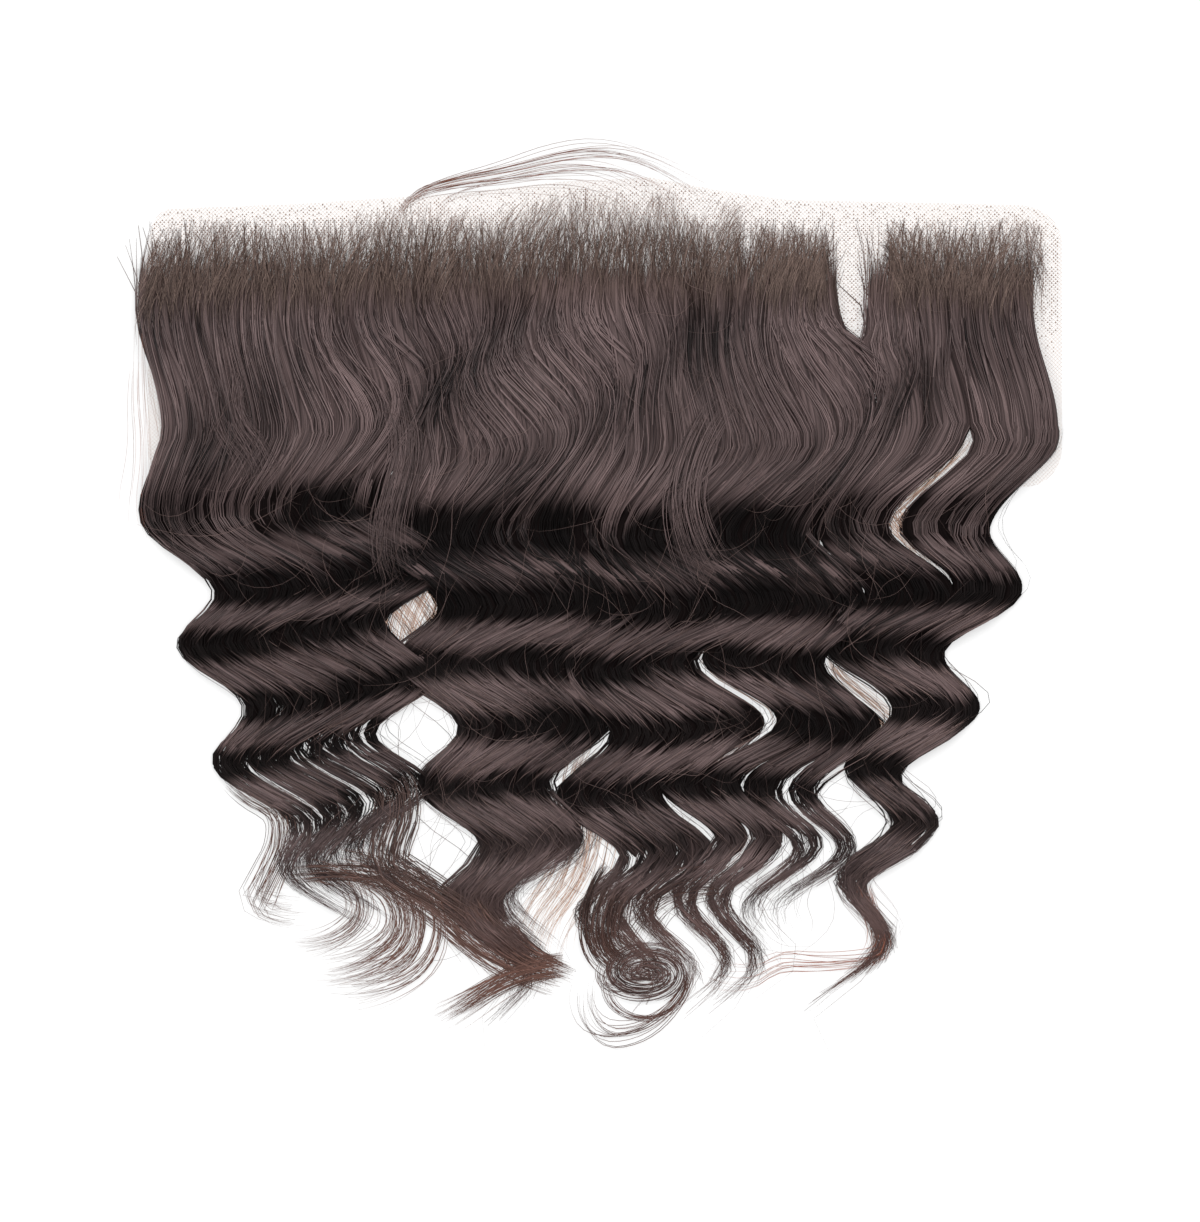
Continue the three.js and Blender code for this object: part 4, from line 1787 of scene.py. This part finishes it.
@dataclass
class RootHairs:
    """Short fine hair that stands out of the net along its front, in leaning tufts.

    Leans are in degrees. A pair is the least and the greatest value, the value at the front and
    at the back, or where something begins and is full.
    """

    fall: HairFall
    net: "Net"
    maker: StrandMaker
    seed: int = 71
    count: int = 5800
    steps: int = 6
    lanes: tuple[float, float] = (-1.0, 1.015)
    parted: float = 0.85
    crowding: float = 0.72
    radii: tuple[float, float] = (0.06 * MM, 0.11 * MM)
    girths: tuple[float, float] = (0.7, 1.3)
    start: tuple[float, float] = (0.4, 0.3)
    end: tuple[float, float] = (0.2, 0.6)
    length: tuple[float, float] = (8 * MM, 24 * MM)
    front_length: float = 0.55
    set_back: float = 23 * MM
    uneven: float = 9.5 * MM
    tuft_pitch: float = 11 * MM
    tuft_mixed: float = 0.2
    tuft_lean: float = 22.0
    lean: float = 26.0
    bow: float = 0.6
    bow_power: float = 1.4
    rise_end: float = 0.45
    rise_back: float = 0.5
    lie: float = 0.35 * MM
    over: float = 0.3 * MM
    tones: tuple[float, float] = (0.8, 0.36)
    tone_reach: tuple[float, float] = (0.1, 0.8)
    tone_spread: tuple[float, float] = (-0.3, 0.2)

    def build(self, finish: bpy.types.Material) -> bpy.types.Object:
        """Build the root hairs.

        Args:
            finish: Their material.

        Returns:
            The piece.
        """
        rng = np.random.default_rng(self.seed)
        fall, count = self.fall, self.count
        root = rng.uniform(*self.lanes, count)
        across = root + fall.drawn_aside(root, np.zeros(count)) * self.parted
        x0 = fall.offset + fall.half_width * across
        back = rng.uniform(0, 1, count) ** self.crowding
        tufts = np.round(x0 / self.tuft_pitch + rng.normal(0, self.tuft_mixed, count)).astype(int)
        tufts -= tufts.min()
        own_lean = rng.normal(0, self.tuft_lean, tufts.max() + 1)[tufts]
        own_front = rng.uniform(0, self.uneven, tufts.max() + 1)[tufts]
        y0 = self.net.front(x0) - own_front * (1 - back) - self.set_back * back
        lean = np.radians(own_lean + rng.normal(0, self.lean, count))[:, None]
        share = np.linspace(0, 1, self.steps)[None, :]
        length = rng.uniform(*self.length, count)[:, None]
        length = length * mix(self.front_length, 1, back[:, None])
        y = y0[:, None] - length * share * mix(np.cos(lean), 1, share)
        bowed = (1 - share) ** self.bow_power - 0.5
        x = x0[:, None] + np.sin(lean) * length * self.bow * bowed
        down = fall.down_at(y)
        x = x + fall.sway * (fall.swing(down) - fall.swing(down[:, :1])) * share
        top = fall.span(np.maximum(down, fall.crown_reach[0]), 0.0)[1]
        rise = smooth(share, 0.0, self.rise_end) * smooth(back, 0.0, self.rise_back)[:, None]
        stray = self.over * rng.normal(0, 1, count)[:, None] * share
        z = np.maximum(mix(self.lie, top + self.over, rise) + stray, self.over)
        radius = mix(*self.radii, back[:, None]) * rng.uniform(*self.girths, count)[:, None]
        radius = radius * pointed(share, self.start, self.end)
        tone = mix(*self.tones, smooth(back, *self.tone_reach))
        tone = (tone + rng.uniform(*self.tone_spread, count))[:, None].clip(0, 1)
        made = Strands(np.stack([x, y, z], -1), radius, np.maximum(down, 0), tone, 0 * x)
        return self.maker.build("root_hairs", made, finish)


@dataclass
class Flyaways:
    """Loose single hairs that cross over the waves, none of which strays far from the fall.

    turns holds how far, in degrees, a hair's heading, its turn and its waves differ.
    """

    fall: HairFall
    maker: StrandMaker
    seed: int = 91
    count: int = 440
    steps: int = 12
    rooted: tuple[float, float] = (0.04, 0.84)
    reach: float = 0.98
    beyond: float = 3 * MM
    lowest: float = 0.9
    radius: float = 0.065 * MM
    girths: tuple[float, float] = (0.7, 1.3)
    thin: float = 0.3
    length: tuple[float, float] = (18 * MM, 66 * MM)
    turns: tuple[float, float, float] = (34, 75, 14)
    wave_rate: float = 6.3 * 1.5
    heights: tuple[float, float] = (1.02, 1.14)
    outer_height: float = 0.8
    tones: tuple[float, float] = (0.1, 0.65)
    least_along: float = 0.2

    def build(self, finish: bpy.types.Material) -> bpy.types.Object:
        """Build the loose hairs.

        Args:
            finish: Their material.

        Returns:
            The piece.
        """
        rng = np.random.default_rng(self.seed)
        fall, count = self.fall, self.count
        share = np.linspace(0, 1, self.steps)[None, :]
        run = rng.uniform(*self.length, count)[:, None] / (self.steps - 1)
        down0 = rng.uniform(*self.rooted, count)[:, None]
        x0 = fall.offset + fall.half(down0) * rng.uniform(-self.reach, self.reach, count)[:, None]
        first, turned, wave = (rng.normal(0, s, count)[:, None] for s in self.turns)
        phase = rng.uniform(0, FULL_TURN, count)[:, None]
        waved = wave * np.sin(self.wave_rate * share + phase)
        angle = np.radians(first + turned * share + waved)
        x = x0 + np.cumsum(np.sin(angle), 1) * run
        y = fall.front_row - fall.fall * down0 - np.cumsum(np.cos(angle), 1) * run
        down = fall.down_at(y)
        held = np.clip(down, 0, 1)
        top = fall.span(held, 0.0)[1]
        z = top * mix(*self.heights, rng.uniform(0, 1, count)[:, None])
        outside = np.abs(x - fall.offset - fall.sway * fall.swing(held)) - fall.half(held)
        z = np.where(outside > 0, np.minimum(z, top * self.outer_height), z)
        radius = self.radius * rng.uniform(*self.girths, count)[:, None] * mix(
            self.thin, 1, np.sin(np.pi * share))
        tone = rng.uniform(*self.tones, count)[:, None]
        kept = ((outside.max(1) < self.beyond) & (down.max(1) < self.lowest)
                & (down.min(1) > 0.0))
        along = np.clip(down, self.least_along, 1)
        made = Strands(np.stack([x, y, z], -1)[kept], radius[kept], along[kept], tone[kept],
                       0 * x[kept])
        return self.maker.build("flyaways", made, finish)


@dataclass
class TailMaker:
    """Builds the small locks that keep to courses of their own, and the flat coils.

    loose is how far, in degrees, a hair's heading differs. A tail whose hairs lie shallower than
    late_deep has them begin up to late_start of their length further on.
    """

    fall: HairFall
    maker: StrandMaker
    seed: int = 31
    steps: int = 20
    loose: float = 2.6
    turn_spread: float = 0.04
    lengths: tuple[float, float] = (0.86, 1.06)
    late_deep: float = 0.2
    late_start: float = 0.22
    radius: float = 0.27 * MM
    girths: tuple[float, float] = (0.7, 1.25)
    start: tuple[float, float] = (0.15, 0.14)
    end: tuple[float, float] = (0.2, 0.6)
    clear: float = 0.15 * MM
    least_along: float = 0.25
    tones: tuple[float, float] = (0.15, 0.95)
    coil_sweeps: tuple[float, float] = (0.75, 1.15)
    coil_inward: float = 0.3
    coil_flat: float = 0.55
    coil_dome: float = 0.9
    coil_lowest: float = 0.35
    coil_heights: tuple[float, float] = (0.6, 1)
    coil_start: tuple[float, float] = (0.3, 0.15)
    coil_end: tuple[float, float] = (0.3, 0.7)
    coil_along: float = 0.86
    coil_tones: tuple[float, float] = (0.05, 0.75)
    scatter: float = 1.2 * MM
    scatter_from: float = 1.2

    def hairs(self, tail: Tail, rng: np.random.Generator) -> Strands:
        """Lay one tail's hairs along its bends.

        Args:
            tail: The tail's numbers.
            rng: Where its small differences come from.

        Returns:
            Its strands.
        """
        fall, count = self.fall, tail.hairs
        share = np.linspace(0, 1, self.steps)[None, :]
        runs = np.cumsum([0.0] + [bend.run for bend in tail.bends])
        turns = np.cumsum([0.0] + [bend.turn for bend in tail.bends])
        size = rng.uniform(*self.lengths, count)[:, None]
        turned = np.interp(share[0] * runs[-1], runs, turns)[None, :]
        angle = np.radians(tail.heading + turned * rng.normal(1, self.turn_spread, count)[:, None]
                           + rng.normal(0, self.loose, count)[:, None])
        run = runs[-1] * fall.fall * size / (self.steps - 1)
        side = rng.uniform(-1, 1, count)[:, None]
        aside = side * fall.half_width * mix(tail.wide, tail.narrow, share) / 2
        x = fall.half_width * tail.across + np.cumsum(np.sin(angle), 1) * run
        x = x + aside * np.cos(angle)
        y = (fall.front_row - fall.fall * tail.down - np.cumsum(np.cos(angle), 1) * run
             + aside * np.sin(angle))
        down = np.clip(fall.down_at(y), 0, 1)
        top = fall.span(down, 0.0)[1]
        depth = rng.uniform(1 - tail.deep, 1, count)[:, None]
        begun = rng.uniform(0, self.late_start, count)[:, None] * (tail.deep < self.late_deep)
        radius = self.radius * tail.thick * rng.uniform(*self.girths, count)[:, None]
        radius = radius * pointed(share, self.start, self.end, begun)
        z = np.maximum(top * mix(tail.high, tail.low, share) * depth, radius + self.clear)
        along = mix(np.clip(down, self.least_along, 1), 1.0, tail.faded)
        tone = rng.uniform(*self.tones, count)[:, None] + 0 * share
        return Strands(np.stack([x, y, z], -1), radius, along, tone, 0 * x)

    def build(self, name: str, tails: Sequence[Tail], finish: bpy.types.Material) -> None:
        """Build the named tails as one piece."""
        rng = np.random.default_rng(self.seed + len(name))
        self.maker.build(name, Strands.joined([self.hairs(t, rng) for t in tails]), finish)

    def coiled(self, coil: Coil, rng: np.random.Generator) -> Strands:
        """Lay one coil's hairs round its middle.

        Args:
            coil: The coil's numbers.
            rng: Where its small differences come from.

        Returns:
            Its strands.
        """
        fall, count = self.fall, coil.hairs
        share = np.linspace(0, 1, self.steps)[None, :]
        size = mix(coil.least, 1.0, rng.uniform(0, 1, count))[:, None]
        start = coil.start + rng.uniform(-1, 1, count)[:, None] * coil.spread
        sweep = coil.sweep * rng.uniform(*self.coil_sweeps, count)[:, None]
        angle = np.radians(start + sweep * share)
        inward = fall.half_width * size * (1 - self.coil_inward * share)
        off = rng.normal(0, self.scatter, (2, count))[:, :, None] * (self.scatter_from - size)
        x = (fall.half_width * coil.across + coil.wide * inward * np.cos(angle) + 2 * off[0])
        flat = mix(self.coil_flat, 1.0, size)
        y = (fall.front_row - fall.fall * coil.down
             + coil.tall * inward * flat * np.sin(angle) + off[1])
        dome = np.sqrt(np.clip(1 - (self.coil_dome * size) ** 2, 0, 1))
        dome = dome * rng.uniform(*self.coil_heights, count)[:, None]
        z = fall.tip_height * coil.high * mix(self.coil_lowest, 1, dome) + 0 * x
        radius = self.radius * coil.thick * rng.uniform(*self.girths, count)[:, None]
        radius = radius * pointed(share, self.coil_start, self.coil_end)
        along = mix(self.coil_along, 1.0, coil.faded) + 0 * x
        tone = rng.uniform(*self.coil_tones, count)[:, None] + 0 * share
        return Strands(np.stack([x, y, z], -1), radius, along, tone, 0 * x)

    def coil(self, name: str, coils: Sequence[Coil], finish: bpy.types.Material) -> None:
        """Build the coils as one piece."""
        rng = np.random.default_rng(self.seed + len(name))
        self.maker.build(name, Strands.joined([self.coiled(c, rng) for c in coils]), finish)


@dataclass
class Net:
    """The sheer net: a nearly clear sheet, its slanting threads and the knots in it.

    Lengths are in metres. round_left and round_right are how far the front's corners reach, as
    shares of half the width. knots_fade is where down the fall the knots thin out.
    """

    width: float = 330 * MM
    depth: float = 102 * MM
    peak: float = 10 * MM
    corner: float = 14 * MM
    round_left: float = 0.05
    round_right: float = 0.1
    lie: float = 0.05 * MM
    cloth: float = 0.15 * MM
    thread_pitch: float = 1.0 * MM
    thread_radius: float = 0.038 * MM
    thread_step: float = 0.3 * MM
    least_steps: int = 3
    knot_radius: float = 0.26 * MM
    knot_sizes: tuple[float, float] = (0.6, 1.25)
    knot_lift: float = 0.6
    knot_scatter: float = 0.05 * MM
    knot_share: float = 0.85
    front_knots: float = 0.4
    knots_fade: tuple[float, float] = (0.1, 0.17)
    bare_depth: float = 15 * MM
    stations: int = 170
    seed: int = 3

    @property
    def top(self) -> float:
        """Height of the cloth's upper side."""
        return self.lie + self.cloth

    def rounded(self, x: Array, share: float) -> Array:
        """Work out how far a corner takes the edge back.

        Args:
            x: X of the places.
            share: How far the corner reaches, as a share of half the width.

        Returns:
            The distance at each place.
        """
        reach = self.width / 2 * share
        beyond = np.clip((np.abs(x) - (self.width / 2 - reach)) / reach, 0, 1)
        return self.corner * (1 - np.sqrt(1 - beyond * beyond))

    def front(self, x: Array) -> Array:
        """Follow the front edge.

        Args:
            x: X of the places.

        Returns:
            Y of the edge at each of them.
        """
        x = np.clip(x, -self.width / 2, self.width / 2)
        across = x / (self.width / 2)
        forward = np.interp(across, [p.across for p in FRONT_EDGE], [p.forward for p in FRONT_EDGE])
        return self.depth / 2 + self.peak * forward - np.where(
            x < 0, self.rounded(x, self.round_left), self.rounded(x, self.round_right))

    def rear(self, x: Array) -> Array:
        """Y of the rear edge at an X."""
        return -self.depth / 2 + self.rounded(x, 2 * self.corner / self.width)

    def sheet(self, finish: bpy.types.Material) -> tuple[bpy.types.Object, float]:
        """Build the sheet, closed all round.

        Args:
            finish: Its material.

        Returns:
            The piece and its flat area.
        """
        turn = np.linspace(-np.pi / 2, np.pi / 2, self.stations)
        x = self.width / 2 * np.sin(turn)
        front, rear = self.front(x), self.rear(x)
        rows = [np.stack([x, y, np.full_like(x, z)], -1)
                for z in (self.lie, self.top) for y in (front, rear)]
        n = self.stations
        faces = [(0, n, 3 * n, 2 * n), (n - 1, 3 * n - 1, 4 * n - 1, 2 * n - 1)]
        for i in range(n - 1):
            for a, b in ((0, n), (2 * n, 3 * n), (0, 2 * n), (n, 3 * n)):
                faces.append((a + i, a + i + 1, b + i + 1, b + i))
        piece = new_piece("lace_sheet", np.stack(rows), None, faces)
        piece.data.materials.append(finish)
        area = float(np.trapz(front - rear, x))
        return worn(outwards(piece), "lace", "lace_base"), area

    def threads(self, maker: StrandMaker, finish: bpy.types.Material) -> bpy.types.Object:
        """Build the two sets of slanting threads, cut off at the net's outline.

        Args:
            maker: What sweeps the threads.
            finish: Their material.

        Returns:
            The piece.
        """
        reach = (self.width + self.depth) / math.sqrt(2)
        along = np.arange(-reach / 2, reach / 2, self.thread_step)
        ends: list[Array] = []
        for slant, height in ((1, self.top), (-1, self.top + self.thread_radius)):
            for offset in np.arange(-reach / 2, reach / 2, self.thread_pitch):
                x = (along - slant * offset) / math.sqrt(2)
                y = (slant * along + offset) / math.sqrt(2)
                inside = (np.abs(x) < self.width / 2) & (y < self.front(x)) & (y > self.rear(x))
                change = np.flatnonzero(np.diff(np.concatenate([[0], inside, [0]])))
                for a, b in zip(change[::2], change[1::2] - 1):
                    if b - a > self.least_steps:
                        ends.append(np.array([(x[a], y[a], height), (x[b], y[b], height)]))
        points = np.stack(ends)
        flat = np.zeros(points.shape[:2])
        made = Strands(points, flat + self.thread_radius, flat, flat, flat)
        return maker.build("lace_threads", made, finish, "lace")

    def knots(self, fall: HairFall, finish: bpy.types.Material) -> bpy.types.Object:
        """Set the knots where the bare net shows.

        Args:
            fall: The course of the hair, which hides the rest.
            finish: Their material.

        Returns:
            The piece.
        """
        rng = np.random.default_rng(self.seed)
        step = self.thread_pitch / math.sqrt(2)
        reach = int((self.width + self.depth) / 2 / step)
        i, j = np.meshgrid(np.arange(-reach, reach), np.arange(-reach, reach))
        x, y = ((i + j) * step).ravel(), ((i - j) * step).ravel()
        front = self.front(x)
        keep = ((np.abs(x) < self.width / 2 - self.thread_pitch)
                & (y < front - self.thread_pitch) & (y > self.rear(x) + self.thread_pitch))
        behind = smooth(front - y, 0, self.bare_depth / 2)
        chance = self.knot_share * mix(self.front_knots, 1, behind)
        chance = chance * (1 - smooth(fall.down_at(y), *self.knots_fade))
        keep &= fall.is_bare(x, y, front, self.bare_depth) & (rng.uniform(0, 1, x.size) < chance)
        height = self.top + self.knot_radius * self.knot_lift
        places = np.stack([x, y, np.full_like(x, height)], -1)[keep]
        places[:, :2] += rng.normal(0, self.knot_scatter, (len(places), 2))
        piece = new_piece("hair_knots", places)
        return worn(knotting_tree().made_on(piece, {
            "Radius": self.knot_radius, "Least": self.knot_sizes[0], "Most": self.knot_sizes[1],
            "Seed": self.seed, "Finish": finish}), "hair")


@dataclass
class Studio:
    """The table, the light and the camera over the middle of the photograph's frame."""

    height: float = 2.2
    sensor: float = 24.0  # millimetres
    nearest: float = 0.1
    lamp_size: float = 1.3
    lamp_power: float = 60.0
    lamp_place: tuple[float, float, float] = (0.0, 0.15, 1.7)
    lamp_aim: tuple[float, float, float] = (0.0, -0.08, 0.0)
    room: float = 0.35
    floor_size: float = 6.0
    floor_drop: float = 0.05 * MM
    table_dark: Colour = (146, 146, 146)
    table_light: Colour = (150, 150, 150)
    table_cloud: float = 3.0
    table_rough: float = 0.9
    table_glow: float = 0.5

    def table(self) -> None:
        """Lay the pale table that the frontal rests on."""
        half, z = self.floor_size / 2, -self.floor_drop
        corners = [(-half, -half, z), (half, -half, z), (half, half, z), (-half, half, z)]
        floor = new_piece("table", np.array(corners), None, [(0, 1, 2, 3)])
        shader = Shader("pale_table")
        cloud = shader.noise(shader.place(), self.table_cloud)
        floor.data.materials.append(shader.finished({
            "Base Color": shader.blend(cloud, linear(self.table_dark), linear(self.table_light)),
            "Roughness": self.table_rough, "Specular IOR Level": 0.0,
            "Emission Color": (1, 1, 1, 1), "Emission Strength": self.table_glow}))

    def light(self) -> None:
        """Hang a large soft light above, and fill the room faintly."""
        lamp = bpy.data.lights.new("soft_light", "AREA")
        lamp.shape, lamp.size, lamp.energy = "SQUARE", self.lamp_size, self.lamp_power
        hung = bpy.data.objects.new("soft_light", lamp)
        hung.location = self.lamp_place
        bpy.context.scene.collection.objects.link(hung)
        aim = Vector(self.lamp_aim) - hung.location
        hung.rotation_euler = aim.to_track_quat("-Z", "Y").to_euler()
        world = bpy.data.worlds.new("room")
        world.use_nodes = True
        world.node_tree.nodes["Background"].inputs["Color"].default_value = (1, 1, 1, 1)
        world.node_tree.nodes["Background"].inputs["Strength"].default_value = self.room
        bpy.context.scene.world = world
        bpy.context.scene.view_settings.view_transform = "Standard"

    def camera(self) -> None:
        """Hang the camera straight above, with the photograph's frame."""
        lens = bpy.data.cameras.new("camera")
        lens.sensor_fit, lens.sensor_height = "VERTICAL", self.sensor
        lens.lens = self.sensor * self.height / (PHOTO[1] * PIXEL)
        lens.clip_start = self.nearest
        shown = bpy.data.objects.new("camera", lens)
        x, y = from_photo(PHOTO[0] / 2, PHOTO[1] / 2)
        shown.location = (x, y, self.height)
        bpy.context.scene.collection.objects.link(shown)
        bpy.context.scene.camera = shown


def main() -> None:
    """Build the whole frontal and its studio."""
    logging.basicConfig(level=logging.INFO, format="%(message)s")
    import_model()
    studio = Studio()
    studio.camera()
    studio.table()
    studio.light()
    fall, maker, net = HairFall(), StrandMaker(), Net()
    sheet, area = net.sheet(NetFinish("lace_ground").for_sheet())
    threads = net.threads(maker, NetFinish("lace_thread").for_thread())
    knots = net.knots(fall, KnotFinish("knot").material())
    locks_finish = LockFinish("lock_bodies").material()
    finishes = {shade: shade.value.material() for shade in HairShade}
    for number, section in enumerate(Section):
        stretch = HairSection(section, fall, maker, seed=11 + number)
        stretch.bodies(locks_finish)
        stretch.strands(BODY_LAYER, finishes[HairShade.COVER])
        stretch.strands(FINE_LAYER, finishes[HairShade.FINE])
    RootHairs(fall, net, maker).build(finishes[HairShade.ROOT])
    Flyaways(fall, maker).build(finishes[HairShade.FINE])
    tail_maker = TailMaker(fall, maker)
    for name, tails in TAILS.items():
        shade = TAIL_SHADES.get(name, HairShade.COVER)
        tail_maker.build(name, tails, finishes[shade])
    tail_maker.coil("curl", COILS, finishes[HairShade.COVER])


if __name__ == "__main__":
    main()
